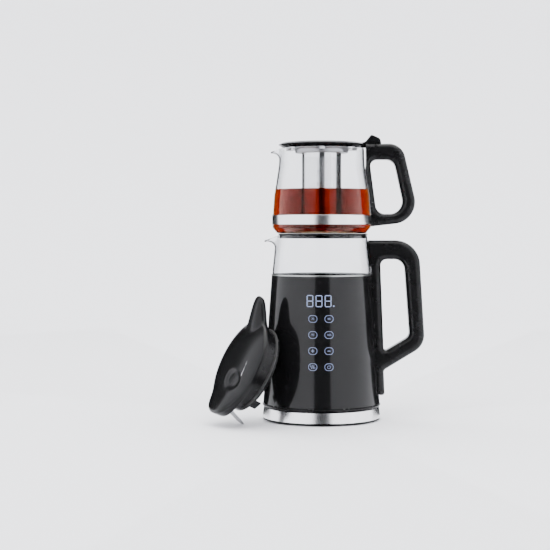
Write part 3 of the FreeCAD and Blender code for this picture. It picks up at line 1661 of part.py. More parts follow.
def check_all():
    """Stop with a message if any object failed or any sub-part has no valid shape."""
    document.recompute()
    for item in document.Objects:
        if "Invalid" in item.State or "Error" in item.State:
            raise RuntimeError("%s failed: %s" % (item.Label, item.State))
    for piece in sub_parts:
        if piece.Shape.isNull() or not piece.Shape.isValid() or not piece.Shape.Solids:
            raise RuntimeError("%s has no valid solid" % piece.Label)


def write_all():
    """Write each sub-part to its own STEP file."""
    os.makedirs("parts", exist_ok=True)
    for piece in sub_parts:
        piece.Shape.exportStep("parts/%s.step" % piece.Label)


build_all()
check_all()
write_all()
for piece in sub_parts:
    print("%-22s %2d solids %10.1f mm3" % (piece.Label, len(piece.Shape.Solids), piece.Shape.Volume))
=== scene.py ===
"""Looks of a glass kettle on its power base, with a glass teapot standing on its mouth.

Sizes in this file are millimetres. Meshes are made in metres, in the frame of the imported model:
+Z up, the handles along +X, the spouts along -X and the touch panel towards -Y.
"""

import logging
import math
from dataclasses import dataclass, field
from enum import Enum
from typing import Callable, Iterable, Optional, Sequence

import bmesh
import bpy
from mathutils import Matrix, Vector


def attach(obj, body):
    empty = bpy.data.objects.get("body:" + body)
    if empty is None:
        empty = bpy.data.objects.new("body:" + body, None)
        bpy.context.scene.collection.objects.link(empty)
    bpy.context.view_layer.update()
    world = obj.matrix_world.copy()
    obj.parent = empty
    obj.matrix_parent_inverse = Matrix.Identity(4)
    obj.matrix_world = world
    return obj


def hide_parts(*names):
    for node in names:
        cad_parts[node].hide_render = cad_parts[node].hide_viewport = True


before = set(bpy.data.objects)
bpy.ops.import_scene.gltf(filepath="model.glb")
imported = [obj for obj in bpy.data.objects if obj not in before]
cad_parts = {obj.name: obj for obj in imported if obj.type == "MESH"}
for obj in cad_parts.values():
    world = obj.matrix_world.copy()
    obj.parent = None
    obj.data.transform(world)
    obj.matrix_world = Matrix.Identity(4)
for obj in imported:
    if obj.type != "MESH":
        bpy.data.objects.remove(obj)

LOG = logging.getLogger("tea_maker")
MM = 0.001
Corner = tuple[float, ...]
Colour = tuple[float, float, float]


# ---------------------------------------------------------------------------------------------
# Shared shader effects
# ---------------------------------------------------------------------------------------------


class Grain(Enum):
    """Which fine relief a surface carries."""

    NONE = "none"
    MOULDED = "moulded"
    TURNED = "turned"
    PERFORATED = "perforated"


class Effects:
    """Shader node groups that more than one finish uses. Each is built once, on first use."""

    def __init__(self) -> None:
        """Start with no groups."""
        self._groups: dict[str, bpy.types.NodeTree] = {}

    @staticmethod
    def _open(name: str, inputs: Sequence[tuple[str, float]], outputs: Sequence[str]) -> tuple:
        """Make an empty group with a Vector input, number inputs and number outputs.

        Args:
            name: the group's name.
            inputs: name and default of each number that comes in.
            outputs: the name of each number that goes out.

        Returns:
            The tree, its input node and its output node.
        """
        tree = bpy.data.node_groups.new(name, "ShaderNodeTree")
        tree.interface.new_socket("Vector", in_out="INPUT", socket_type="NodeSocketVector")
        for label, default in inputs:
            socket = tree.interface.new_socket(label, in_out="INPUT", socket_type="NodeSocketFloat")
            socket.default_value = default
        for label in outputs:
            tree.interface.new_socket(label, in_out="OUTPUT", socket_type="NodeSocketFloat")
        return tree, tree.nodes.new("NodeGroupInput"), tree.nodes.new("NodeGroupOutput")

    @staticmethod
    def _math(tree: bpy.types.NodeTree, operation: str, *values: object) -> bpy.types.NodeSocket:
        """Add a Math node.

        Args:
            tree: the group it goes into.
            operation: the node's operation.
            values: a socket to link or a number for each input.

        Returns:
            The node's output.
        """
        node = tree.nodes.new("ShaderNodeMath")
        node.operation = operation
        for index, value in enumerate(values):
            if isinstance(value, bpy.types.NodeSocket):
                tree.links.new(value, node.inputs[index])
            else:
                node.inputs[index].default_value = value
        return node.outputs[0]

    def _round_the_axis(self, tree: bpy.types.NodeTree, vector: bpy.types.NodeSocket) -> tuple:
        """Turn a place into its angle round Z, its height and its reach.

        Args:
            tree: the group it goes into.
            vector: the place, in metres.

        Returns:
            The angle in radians, the height and the reach, as sockets.
        """
        parts = tree.nodes.new("ShaderNodeSeparateXYZ")
        tree.links.new(vector, parts.inputs[0])
        angle = self._math(tree, "ARCTAN2", parts.outputs["Y"], parts.outputs["X"])
        across = self._math(tree, "MULTIPLY", parts.outputs["X"], parts.outputs["X"])
        along = self._math(tree, "MULTIPLY", parts.outputs["Y"], parts.outputs["Y"])
        reach = self._math(tree, "SQRT", self._math(tree, "ADD", across, along))
        return angle, parts.outputs["Z"], reach

    def mottle(self) -> bpy.types.NodeTree:
        """Slow uneven gloss, as a wiped surface has. Returns the group."""
        if "mottle" not in self._groups:
            tree, entry, leave = self._open("mottle", [("Scale", 60.0)], ["Value"])
            noise = tree.nodes.new("ShaderNodeTexNoise")
            noise.inputs["Detail"].default_value = 3.0
            noise.inputs["Roughness"].default_value = 0.6
            tree.links.new(entry.outputs["Vector"], noise.inputs["Vector"])
            tree.links.new(entry.outputs["Scale"], noise.inputs["Scale"])
            tree.links.new(noise.outputs["Fac"], leave.inputs["Value"])
            self._groups["mottle"] = tree
        return self._groups["mottle"]

    def moulded(self) -> bpy.types.NodeTree:
        """Fine pebbled grain of a moulded part. Returns the group."""
        if "moulded" not in self._groups:
            tree, entry, leave = self._open("moulded", [("Scale", 1400.0)], ["Height"])
            cells = tree.nodes.new("ShaderNodeTexVoronoi")
            cells.feature = "SMOOTH_F1"
            cells.inputs["Smoothness"].default_value = 0.7
            tree.links.new(entry.outputs["Vector"], cells.inputs["Vector"])
            tree.links.new(entry.outputs["Scale"], cells.inputs["Scale"])
            tree.links.new(cells.outputs["Distance"], leave.inputs["Height"])
            self._groups["moulded"] = tree
        return self._groups["moulded"]

    def turned(self) -> bpy.types.NodeTree:
        """Brush lines that run round the Z axis. Returns the group."""
        if "turned" not in self._groups:
            tree, entry, leave = self._open("turned", [("Fineness", 5200.0)], ["Height"])
            angle, height, reach = self._round_the_axis(tree, entry.outputs["Vector"])
            fine = entry.outputs["Fineness"]
            place = tree.nodes.new("ShaderNodeCombineXYZ")
            tree.links.new(self._math(tree, "MULTIPLY", angle, 3.0), place.inputs["X"])
            tree.links.new(self._math(tree, "MULTIPLY", height, fine), place.inputs["Y"])
            tree.links.new(self._math(tree, "MULTIPLY", reach, fine), place.inputs["Z"])
            noise = tree.nodes.new("ShaderNodeTexNoise")
            noise.inputs["Scale"].default_value = 1.0
            noise.inputs["Detail"].default_value = 4.0
            tree.links.new(place.outputs[0], noise.inputs["Vector"])
            tree.links.new(noise.outputs["Fac"], leave.inputs["Height"])
            self._groups["turned"] = tree
        return self._groups["turned"]

    def perforated(self) -> bpy.types.NodeTree:
        """Rows of fine holes round the Z axis between two heights. Returns the group."""
        if "perforated" not in self._groups:
            sizes = [("Radius", 0.025), ("Pitch", 0.0009), ("Low", 0.253), ("High", 0.332)]
            tree, entry, leave = self._open("perforated", sizes, ["Height"])
            angle, height, _ = self._round_the_axis(tree, entry.outputs["Vector"])
            arc = self._math(tree, "MULTIPLY", angle, entry.outputs["Radius"])
            column = self._math(tree, "DIVIDE", arc, entry.outputs["Pitch"])
            row = self._math(tree, "DIVIDE", height, entry.outputs["Pitch"])
            shift = self._math(tree, "MULTIPLY", self._math(tree, "FLOOR", row), 0.5)
            near_column = self._math(tree, "SUBTRACT", self._math(
                tree, "FRACT", self._math(tree, "ADD", column, shift)), 0.5)
            near_row = self._math(tree, "SUBTRACT", self._math(tree, "FRACT", row), 0.5)
            distance = self._math(tree, "SQRT", self._math(
                tree, "ADD", self._math(tree, "MULTIPLY", near_column, near_column),
                self._math(tree, "MULTIPLY", near_row, near_row)))
            solid = self._math(tree, "GREATER_THAN", distance, 0.26)
            below = self._math(tree, "LESS_THAN", height, entry.outputs["Low"])
            above = self._math(tree, "GREATER_THAN", height, entry.outputs["High"])
            plain = self._math(tree, "MAXIMUM", below, above)
            tree.links.new(self._math(tree, "MAXIMUM", solid, plain), leave.inputs["Height"])
            self._groups["perforated"] = tree
        return self._groups["perforated"]

    def relief(self, grain: Grain) -> Optional[bpy.types.NodeTree]:
        """Give the group that makes a grain's height, or None for a plain surface."""
        makers = {Grain.MOULDED: self.moulded, Grain.TURNED: self.turned,
                  Grain.PERFORATED: self.perforated}
        return makers[grain]() if grain in makers else None


EFFECTS = Effects()


@dataclass(frozen=True)
class Finish:
    """What a surface is made of: the shader's own values and the effects laid over them."""

    name: str
    colour: Colour
    metallic: float = 0.0
    roughness: float = 0.4
    uneven: float = 0.05
    uneven_scale: float = 60.0
    specular: float = 0.5
    mirrored: float = 1.0
    ior: float = 1.5
    coat: float = 0.0
    coat_roughness: float = 0.05
    anisotropic: float = 0.0
    transmission: float = 0.0
    grain: Grain = Grain.NONE
    grain_scale: Optional[float] = None
    grain_height: float = 0.02
    # painted shade: a darker colour laid into a grain's hollows
    hollow_shade_colour: Optional[Colour] = None
    glow: float = 0.0
    glow_colour: Colour = (1.0, 1.0, 1.0)
    absorb_colour: Optional[Colour] = None
    absorb_density: float = 0.0

    def material(self) -> bpy.types.Material:
        """Build the material on first use. Returns the one of this name."""
        known = bpy.data.materials.get(self.name)
        if known:
            return known
        material = bpy.data.materials.new(self.name)
        material.use_nodes = True
        tree = material.node_tree
        shader = tree.nodes["Principled BSDF"]
        shader.inputs["Base Color"].default_value = (*self.colour, 1.0)
        shader.inputs["Metallic"].default_value = self.metallic
        shader.inputs["Roughness"].default_value = self.roughness
        shader.inputs["IOR"].default_value = self.ior
        shader.inputs["Specular IOR Level"].default_value = self.specular
        shader.inputs["Specular Tint"].default_value = (self.mirrored,) * 3 + (1.0,)
        shader.inputs["Coat Weight"].default_value = self.coat
        shader.inputs["Coat Roughness"].default_value = self.coat_roughness
        shader.inputs["Anisotropic"].default_value = self.anisotropic
        shader.inputs["Transmission Weight"].default_value = self.transmission
        shader.inputs["Emission Color"].default_value = (*self.glow_colour, 1.0)
        shader.inputs["Emission Strength"].default_value = self.glow
        place = tree.nodes.new("ShaderNodeTexCoord").outputs["Object"]
        self._vary_gloss(tree, shader, place)
        self._lay_relief(tree, shader, place)
        self._fill_with_colour(tree)
        return material

    def _vary_gloss(self, tree: bpy.types.NodeTree, shader: bpy.types.Node,
                    place: bpy.types.NodeSocket) -> None:
        """Let the roughness drift a little over the surface.

        Args:
            tree: the material's nodes.
            shader: its Principled BSDF.
            place: the object coordinates.
        """
        if not self.uneven:
            return
        mottle = tree.nodes.new("ShaderNodeGroup")
        mottle.node_tree = EFFECTS.mottle()
        mottle.inputs["Scale"].default_value = self.uneven_scale
        tree.links.new(place, mottle.inputs["Vector"])
        spread = tree.nodes.new("ShaderNodeMapRange")
        spread.inputs["From Min"].default_value = 0.3
        spread.inputs["From Max"].default_value = 0.7
        spread.inputs["To Min"].default_value = max(0.0, self.roughness - self.uneven)
        spread.inputs["To Max"].default_value = self.roughness + self.uneven
        tree.links.new(mottle.outputs["Value"], spread.inputs["Value"])
        tree.links.new(spread.outputs["Result"], shader.inputs["Roughness"])

    def _lay_relief(self, tree: bpy.types.NodeTree, shader: bpy.types.Node,
                    place: bpy.types.NodeSocket) -> None:
        """Lay the grain's relief over the surface, and paint shade into its hollows as a darker
        second colour.

        Args:
            tree: the material's nodes.
            shader: its Principled BSDF.
            place: the object coordinates.
        """
        group = EFFECTS.relief(self.grain)
        if group is None:
            return
        relief = tree.nodes.new("ShaderNodeGroup")
        relief.node_tree = group
        if self.grain_scale is not None:
            relief.inputs[1].default_value = self.grain_scale
        tree.links.new(place, relief.inputs["Vector"])
        bump = tree.nodes.new("ShaderNodeBump")
        bump.inputs["Strength"].default_value = 1.0
        bump.inputs["Distance"].default_value = self.grain_height * MM
        tree.links.new(relief.outputs["Height"], bump.inputs["Height"])
        tree.links.new(bump.outputs["Normal"], shader.inputs["Normal"])
        # painted shade: the hollows (the mesh's holes) get the darker colour
        if self.hollow_shade_colour is not None:
            mix = tree.nodes.new("ShaderNodeMix")
            mix.data_type = "RGBA"
            hollow, solid = [socket for socket in mix.inputs if socket.type == "RGBA"]
            hollow.default_value = (*self.hollow_shade_colour, 1.0)
            solid.default_value = (*self.colour, 1.0)
            tree.links.new(relief.outputs["Height"], mix.inputs["Factor"])
            colour = next(socket for socket in mix.outputs if socket.type == "RGBA")
            tree.links.new(colour, shader.inputs["Base Color"])

    def _fill_with_colour(self, tree: bpy.types.NodeTree) -> None:
        """Give a clear body the colour that it takes on with its depth."""
        if self.absorb_colour is None:
            return
        depth = tree.nodes.new("ShaderNodeVolumeAbsorption")
        depth.inputs["Color"].default_value = (*self.absorb_colour, 1.0)
        depth.inputs["Density"].default_value = self.absorb_density
        tree.links.new(depth.outputs["Volume"], tree.nodes["Material Output"].inputs["Volume"])


BLACK_PLASTIC = Finish("black_satin_plastic", (0.0035, 0.0035, 0.0038), roughness=0.27, uneven=0.01,
                       specular=0.17)
LID_PLASTIC = Finish("black_lid_plastic", (0.0035, 0.0035, 0.0038), roughness=0.25, uneven=0.01,
                     specular=0.17)
HOUSING_BLACK = Finish("black_housing_enamel", (0.0045, 0.0045, 0.0048), roughness=0.13,
                       uneven=0.02, uneven_scale=30.0, specular=0.25)
PANEL_BLACK = Finish("black_panel_gloss", (0.0045, 0.0045, 0.0048), roughness=0.12, uneven=0.02,
                     uneven_scale=30.0, specular=0.25)
TURNED_STEEL = Finish("turned_steel", (0.80, 0.80, 0.81), metallic=1.0, roughness=0.20, uneven=0.02,
                      anisotropic=0.3, grain=Grain.TURNED, grain_height=0.003)
BRIGHT_STEEL = Finish("polished_steel", (0.74, 0.74, 0.75), metallic=1.0, roughness=0.14,
                      uneven=0.03)
TRIM_STEEL = Finish("satin_trim_steel", (0.34, 0.35, 0.34), metallic=1.0, roughness=0.30,
                    uneven=0.03)
# the mesh's holes are painted a darker grey: painted shade seen through the holes
MESH_STEEL = Finish("etched_mesh_steel", (0.80, 0.805, 0.81), metallic=1.0, roughness=0.13,
                    uneven=0.03, grain=Grain.PERFORATED, grain_height=0.02,
                    hollow_shade_colour=(0.48, 0.485, 0.49))
MATT_STEEL = Finish("matt_steel", (0.40, 0.40, 0.41), metallic=1.0, roughness=0.42, uneven=0.04)
PLAIN_STEEL = Finish("plain_steel", (0.55, 0.55, 0.56), metallic=1.0, roughness=0.34, uneven=0.05)
CLEAR_GLASS = Finish("clear_glass", (0.985, 0.988, 0.995), roughness=0.0, uneven=0.0, ior=1.45,
                     transmission=1.0, absorb_colour=(0.70, 0.715, 0.74), absorb_density=100.0,
                     mirrored=0.28)
TEA = Finish("black_tea", (1.0, 0.92, 0.84), roughness=0.0, uneven=0.0, ior=1.03, transmission=1.0,
             absorb_colour=(0.86, 0.58, 0.03), absorb_density=200.0)
RUBBER = Finish("black_rubber", (0.015, 0.015, 0.015), roughness=0.7, uneven=0.08,
                grain=Grain.MOULDED, grain_scale=900.0, grain_height=0.02)
SILICONE = Finish("pale_silicone", (0.55, 0.55, 0.53), roughness=0.5, uneven=0.05)
ALUMINIUM = Finish("pressed_aluminium", (0.70, 0.70, 0.71), metallic=1.0, roughness=0.4,
                   uneven=0.06)
BRASS = Finish("stamped_brass", (0.72, 0.53, 0.24), metallic=1.0, roughness=0.3, uneven=0.06)
BOARD_GREEN = Finish("circuit_board", (0.02, 0.11, 0.05), roughness=0.45, uneven=0.05)
LAMP_BLUE = Finish("lamp_blue", (0.19, 0.24, 0.39), roughness=0.4, uneven=0.02, glow=0.13,
                   glow_colour=(0.50, 0.62, 0.92))
KEY_BLUE = Finish("key_blue", (0.12, 0.15, 0.26), roughness=0.4, uneven=0.02, glow=0.10,
                  glow_colour=(0.42, 0.52, 0.85))
NAVY_WINDOW = Finish("navy_window", (0.010, 0.012, 0.028), roughness=0.18, uneven=0.02)
LEVEL_INK = Finish("level_ink", (0.02, 0.02, 0.022), roughness=0.5, uneven=0.03)
PALE_STAGE = Finish("pale_stage", (0.86, 0.862, 0.88), roughness=0.75, uneven=0.04,
                    uneven_scale=8.0)
FLAG_BLACK = Finish("flag_black", (0.004, 0.004, 0.004), roughness=0.9, uneven=0.05,
                    specular=0.0)


# ---------------------------------------------------------------------------------------------
# Mesh workshop
# ---------------------------------------------------------------------------------------------


class Flat(Enum):
    """The plane that an outline is drawn in."""

    XZ = "upright"
    XY = "level"


def draw_outline(mesh: bmesh.types.BMesh, corners: Sequence[Corner], closed: bool = True,
                 flat: Flat = Flat.XZ, arc_steps: int = 6) -> list[bmesh.types.BMVert]:
    """Draw an outline as edges, with its corners rounded.

    Args:
        mesh: where it is drawn.
        corners: (across, up) or (across, up, radius) of each corner, in millimetres.
        closed: whether the last corner joins the first.
        flat: the plane it lies in.
        arc_steps: edges in each rounded corner.

    Returns:
        The vertices that were added.
    """
    old = set(mesh.verts)
    points = [Vector((c[0], 0.0, c[1]) if flat is Flat.XZ else (c[0], c[1], 0.0)) * MM
              for c in corners]
    verts = [mesh.verts.new(point) for point in points]
    count = len(verts)
    for index in range(count if closed else count - 1):
        mesh.edges.new((verts[index], verts[(index + 1) % count]))
    for index, corner in enumerate(corners):
        if len(corner) < 3 or (not closed and index in (0, count - 1)):
            continue
        before = points[index] - points[index - 1]
        after = points[(index + 1) % count] - points[index]
        tangent = corner[2] * MM * math.tan(before.angle(after) / 2)
        tangent = min(tangent, before.length * 0.49, after.length * 0.49)
        bmesh.ops.bevel(mesh, geom=[verts[index]], offset=tangent, offset_type="OFFSET",
                        segments=arc_steps, profile=0.5, affect="VERTICES", material=-1)
    return [vert for vert in mesh.verts if vert not in old]


def edges_between(mesh: bmesh.types.BMesh, verts: Iterable[bmesh.types.BMVert]) -> list:
    """Give the edges whose two ends are both among some vertices."""
    chosen = set(verts)
    return [edge for edge in mesh.edges if chosen.issuperset(edge.verts)]


def tidy(mesh: bmesh.types.BMesh) -> bmesh.types.BMesh:
    """Merge doubled vertices and turn every face outwards. Returns the same mesh."""
    bmesh.ops.remove_doubles(mesh, verts=mesh.verts, dist=1e-6)
    bmesh.ops.recalc_face_normals(mesh, faces=mesh.faces)
    return mesh


def lathe(corners: Sequence[Corner], closed: bool = True, steps: int = 192, start: float = 0.0,
          sweep: float = 360.0, arc_steps: int = 6) -> bmesh.types.BMesh:
    """Turn an outline round the Z axis.

    Args:
        corners: the outline in the XZ plane, in millimetres.
        closed: whether the outline closes on itself. An open one ends on the axis or at a rim.
        steps: faces round the whole sweep.
        start: where the sweep starts, in degrees from +X.
        sweep: how far it turns, in degrees. Less than a full turn gets end faces.
        arc_steps: edges in each rounded corner.

    Returns:
        The turned mesh.
    """
    mesh = bmesh.new()
    verts = draw_outline(mesh, corners, closed, arc_steps=arc_steps)
    bmesh.ops.rotate(mesh, verts=verts, cent=(0, 0, 0),
                     matrix=Matrix.Rotation(math.radians(start), 3, "Z"))
    whole = abs(sweep - 360.0) < 1e-6
    geometry = list(mesh.verts) + list(mesh.edges)
    if not whole and closed:
        filled = bmesh.ops.contextual_create(mesh, geom=list(mesh.edges))
        geometry += filled["faces"]
    bmesh.ops.spin(mesh, geom=geometry, cent=(0, 0, 0), axis=(0, 0, 1), dvec=(0, 0, 0),
                   angle=math.radians(sweep), steps=steps, use_merge=whole, use_duplicate=False)
    return tidy(mesh)


def slab(outer: Sequence[Corner], hole: Optional[Sequence[Corner]], half_depth: float,
         rounding: float, flat: Flat = Flat.XZ, arc_steps: int = 7,
         round_steps: int = 6) -> bmesh.types.BMesh:
    """Raise an outline to both sides of its plane and round its long edges.

    Args:
        outer: the outline, in millimetres.
        hole: the outline of an opening, or None.
        half_depth: how far it stands out to each side.
        rounding: radius of its long edges.
        flat: the plane of the outline.
        arc_steps: edges in each rounded corner of the outline.
        round_steps: faces across each rounded edge.

    Returns:
        The solid mesh.
    """
    mesh = bmesh.new()
    draw_outline(mesh, outer, flat=flat, arc_steps=arc_steps)
    if hole:
        draw_outline(mesh, hole, flat=flat, arc_steps=arc_steps)
        bmesh.ops.triangle_fill(mesh, use_beauty=True, use_dissolve=False, edges=list(mesh.edges))
    else:
        bmesh.ops.contextual_create(mesh, geom=list(mesh.edges))
    out = Vector((0, 1, 0) if flat is Flat.XZ else (0, 0, 1))
    straight = (half_depth - rounding) * MM
    bmesh.ops.translate(mesh, verts=mesh.verts, vec=out * -straight)
    raised = bmesh.ops.extrude_face_region(mesh, geom=list(mesh.faces))
    top = [item for item in raised["geom"] if isinstance(item, bmesh.types.BMVert)]
    bmesh.ops.translate(mesh, verts=top, vec=out * straight * 2)
    bmesh.ops.recalc_face_normals(mesh, faces=mesh.faces)
    for side in (1, -1):
        cap = [face for face in mesh.faces if (face.normal @ out) * side > 0.99]
        for step in range(round_steps):
            now = math.radians(90.0 * step / round_steps)
            then = math.radians(90.0 * (step + 1) / round_steps)
            bmesh.ops.inset_region(
                mesh, faces=cap, use_boundary=True, use_even_offset=True,
                thickness=rounding * MM * (math.cos(now) - math.cos(then)),
                depth=rounding * MM * (math.sin(then) - math.sin(now)))
    return tidy(mesh)


def bend_back(verts: Iterable[bmesh.types.BMVert], move: Callable[[Vector], Vector]) -> None:
    """Put each vertex where a rule sends it."""
    for vert in verts:
        vert.co = move(vert.co)


def loose_object(mesh: bmesh.types.BMesh, name: str) -> bpy.types.Object:
    """Turn a bmesh into an object of the scene, and free the bmesh."""
    data = bpy.data.meshes.new(name)
    mesh.to_mesh(data)
    mesh.free()
    thing = bpy.data.objects.new(name, data)
    bpy.context.scene.collection.objects.link(thing)
    return thing


def carve(target: bmesh.types.BMesh, *cutters: bmesh.types.BMesh) -> bmesh.types.BMesh:
    """Cut solids out of a solid.

    Args:
        target: what is cut. It is used up.
        cutters: what is taken away. They are used up.

    Returns:
        What is left.
    """
    body = loose_object(target, "carved")
    tools = [loose_object(cutter, "cutter_%d" % index) for index, cutter in enumerate(cutters)]
    for tool in tools:
        cut = body.modifiers.new("cut", "BOOLEAN")
        cut.operation = "DIFFERENCE"
        cut.solver = "EXACT"
        cut.object = tool
    bpy.context.view_layer.update()
    ready = body.evaluated_get(bpy.context.evaluated_depsgraph_get())
    result = bmesh.new()
    result.from_mesh(ready.to_mesh())
    ready.to_mesh_clear()
    for thing in [body, *tools]:
        data = thing.data
        bpy.data.objects.remove(thing)
        bpy.data.meshes.remove(data)
    return result


def joined(*meshes: bmesh.types.BMesh) -> bmesh.types.BMesh:
    """Put several meshes into the first, and free the others. Returns the first."""
    whole = meshes[0]
    for mesh in meshes[1:]:
        data = bpy.data.meshes.new("joined")
        mesh.to_mesh(data)
        mesh.free()
        whole.from_mesh(data)
        bpy.data.meshes.remove(data)
    return whole


def solid_box(low: Sequence[float], high: Sequence[float]) -> bmesh.types.BMesh:
    """Make a box between two corners, in millimetres."""
    mesh = bmesh.new()
    bmesh.ops.create_cube(mesh, size=1.0)
    size = [(b - a) * MM for a, b in zip(low, high)]
    middle = [(a + b) / 2 * MM for a, b in zip(low, high)]
    bmesh.ops.scale(mesh, verts=mesh.verts, vec=size)
    bmesh.ops.translate(mesh, verts=mesh.verts, vec=middle)
    return mesh


def finish_piece(name: str, mesh: bmesh.types.BMesh, finish: Finish, body: str,
                 replaces: Sequence[str] = (),
                 crease: float = 32.0, weigh: bool = True) -> bpy.types.Object:
    """Make a piece of a mesh: smooth it, dress it and let it ride on a body.

    Args:
        name: the piece's name.
        mesh: its shape. It is used up.
        finish: what it is made of.
        body: the body that it rides on.
        replaces: the nodes that it stands for.
        crease: edges that turn further than this, in degrees, stay sharp.
        weigh: whether large faces keep flat shading beside their rounded edges.

    Returns:
        The piece.
    """
    piece = loose_object(mesh, name)
    piece.data.shade_smooth()
    piece.data.set_sharp_from_angle(angle=math.radians(crease))
    piece.data.materials.append(finish.material())
    if weigh:
        normals = piece.modifiers.new("weighted_normals", "WEIGHTED_NORMAL")
        normals.keep_sharp = True
    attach(piece, body)
    if replaces:
        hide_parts(*replaces)
    LOG.info("%s: %d faces on %s", name, len(piece.data.polygons), body)
    return piece


def copy_of(node: str) -> bmesh.types.BMesh:
    """Give a node's shape with its loose triangles merged."""
    mesh = bmesh.new()
    mesh.from_mesh(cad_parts[node].data)
    bmesh.ops.remove_doubles(mesh, verts=mesh.verts, dist=2e-6)
    return mesh


def dress_smooth(node: str, finish: Finish, body: str, crease: float = 24.0) -> None:
    """Show a node as a smooth copy of itself, in its finish."""
    finish_piece("%s_skin" % node, copy_of(node), finish, body, [node], crease=crease)


def lettering(text: str, height: float, name: str) -> bmesh.types.BMesh:
    """Write a plain number as a thin mesh in the XZ plane, centred on the origin.

    Args:
        text: what it says.
        height: height of a figure, in millimetres.
        name: name for the passing data.

    Returns:
        The mesh, facing -Y.
    """
    curve = bpy.data.curves.new(name, "FONT")
    curve.body = text
    curve.align_x = "CENTER"
    curve.align_y = "CENTER"
    curve.size = height * MM * 1.38
    curve.resolution_u = 4
    writer = bpy.data.objects.new(name, curve)
    bpy.context.scene.collection.objects.link(writer)
    bpy.context.view_layer.update()
    ready = writer.evaluated_get(bpy.context.evaluated_depsgraph_get())
    mesh = bmesh.new()
    mesh.from_mesh(ready.to_mesh())
    ready.to_mesh_clear()
    bpy.data.objects.remove(writer)
    bpy.data.curves.remove(curve)
    bmesh.ops.rotate(mesh, verts=mesh.verts, cent=(0, 0, 0),
                     matrix=Matrix.Rotation(math.radians(90), 3, "X"))
    return mesh


def shifted(mesh: bmesh.types.BMesh, across: float, up: float) -> bmesh.types.BMesh:
    """Move a flat mark in its XZ plane by millimetres. Returns the same mesh."""
    bmesh.ops.translate(mesh, verts=mesh.verts, vec=(across * MM, 0, up * MM))
    return mesh


def flat_ring(outer: Sequence[Corner], inner: Sequence[Corner],
              arc_steps: int = 5) -> bmesh.types.BMesh:
    """Fill the strip between two outlines of as many corners, in the XZ plane."""
    mesh = bmesh.new()
    outside = draw_outline(mesh, outer, arc_steps=arc_steps)
    inside = draw_outline(mesh, inner, arc_steps=arc_steps)
    bmesh.ops.bridge_loops(mesh, edges=edges_between(mesh, outside) + edges_between(mesh, inside))
    return mesh


def flat_shape(corners: Sequence[Corner], arc_steps: int = 5) -> bmesh.types.BMesh:
    """Fill an outline in the XZ plane."""
    mesh = bmesh.new()
    draw_outline(mesh, corners, arc_steps=arc_steps)
    bmesh.ops.contextual_create(mesh, geom=list(mesh.edges))
    return mesh


def capsule(half_width: float, half_height: float, corner: float) -> list[Corner]:
    """Give the corners of a rectangle about the origin with rounded corners."""
    return [(-half_width, -half_height, corner), (half_width, -half_height, corner),
            (half_width, half_height, corner), (-half_width, half_height, corner)]


# ---------------------------------------------------------------------------------------------
# Power base
# ---------------------------------------------------------------------------------------------


@dataclass
class PowerBase:
    """Round cordless base: covers, steel band, feet and socket."""

    band_low_radius: float = 75.0
    band_high_radius: float = 73.2
    band_bottom: float = 3.2
    band_top: float = 16.4
    band_wall: float = 1.0
    outlet_half_width: float = 7.05
    outlet_low: float = 5.15
    outlet_high: float = 13.25
    body: str = "base"

    def build(self) -> None:
        """Make the base's pieces."""
        self.steel_band()
        for node in ("base_bottom_cover", "base_top_cover", "cord_outlet", "base_socket"):
            dress_smooth(node, BLACK_PLASTIC, self.body)
        dress_smooth("base_feet", RUBBER, self.body)
        dress_smooth("base_screws", PLAIN_STEEL, self.body)
        dress_smooth("base_contacts", BRASS, self.body)

    def steel_band(self) -> None:
        """Turn the brushed band and cut the cord outlet's slot into its back."""
        inner_low = self.band_low_radius - self.band_wall
        inner_high = self.band_high_radius - self.band_wall
        band = lathe([(inner_low, self.band_bottom), (self.band_low_radius, self.band_bottom, 0.4),
                      (self.band_high_radius, self.band_top, 0.4), (inner_high, self.band_top)],
                     steps=256, arc_steps=3)
        slot = solid_box((-self.outlet_half_width, inner_high - 6, self.outlet_low),
                         (self.outlet_half_width, self.band_low_radius + 6, self.outlet_high))
        finish_piece("steel_band", carve(band, slot), TURNED_STEEL, self.body,
                     ["base_steel_band"])


# ---------------------------------------------------------------------------------------------
# Kettle
# ---------------------------------------------------------------------------------------------


@dataclass
class Spout:
    """A pouring lip pressed out of a glass rim, towards -X."""

    rim: float
    rim_radius: float
    reach: float
    drop: float
    depth: float
    half_width: float

    def press(self, place: Vector) -> Vector:
        """Give where a point of the wall goes when the lip is pressed out.

        Args:
            place: the point, in metres.

        Returns:
            The point's new place.
        """
        height = (place.z / MM - (self.rim - self.depth)) / self.depth
        if height <= 0 or place.x >= 0:
            return place
        arc = abs(math.atan2(place.y, -place.x)) * self.rim_radius
        near = 1.0 - min(arc / self.half_width, 1.0)
        share = near * near * (3.0 - 2.0 * near) * min(height, 1.0) ** 2.2
        radius = math.hypot(place.x, place.y)
        out = (self.reach - self.rim_radius) * MM * share
        narrowing = 1.0 - 0.35 * share
        return Vector((place.x * (radius + out) / radius, place.y * narrowing,
                       place.z - self.drop * MM * share))


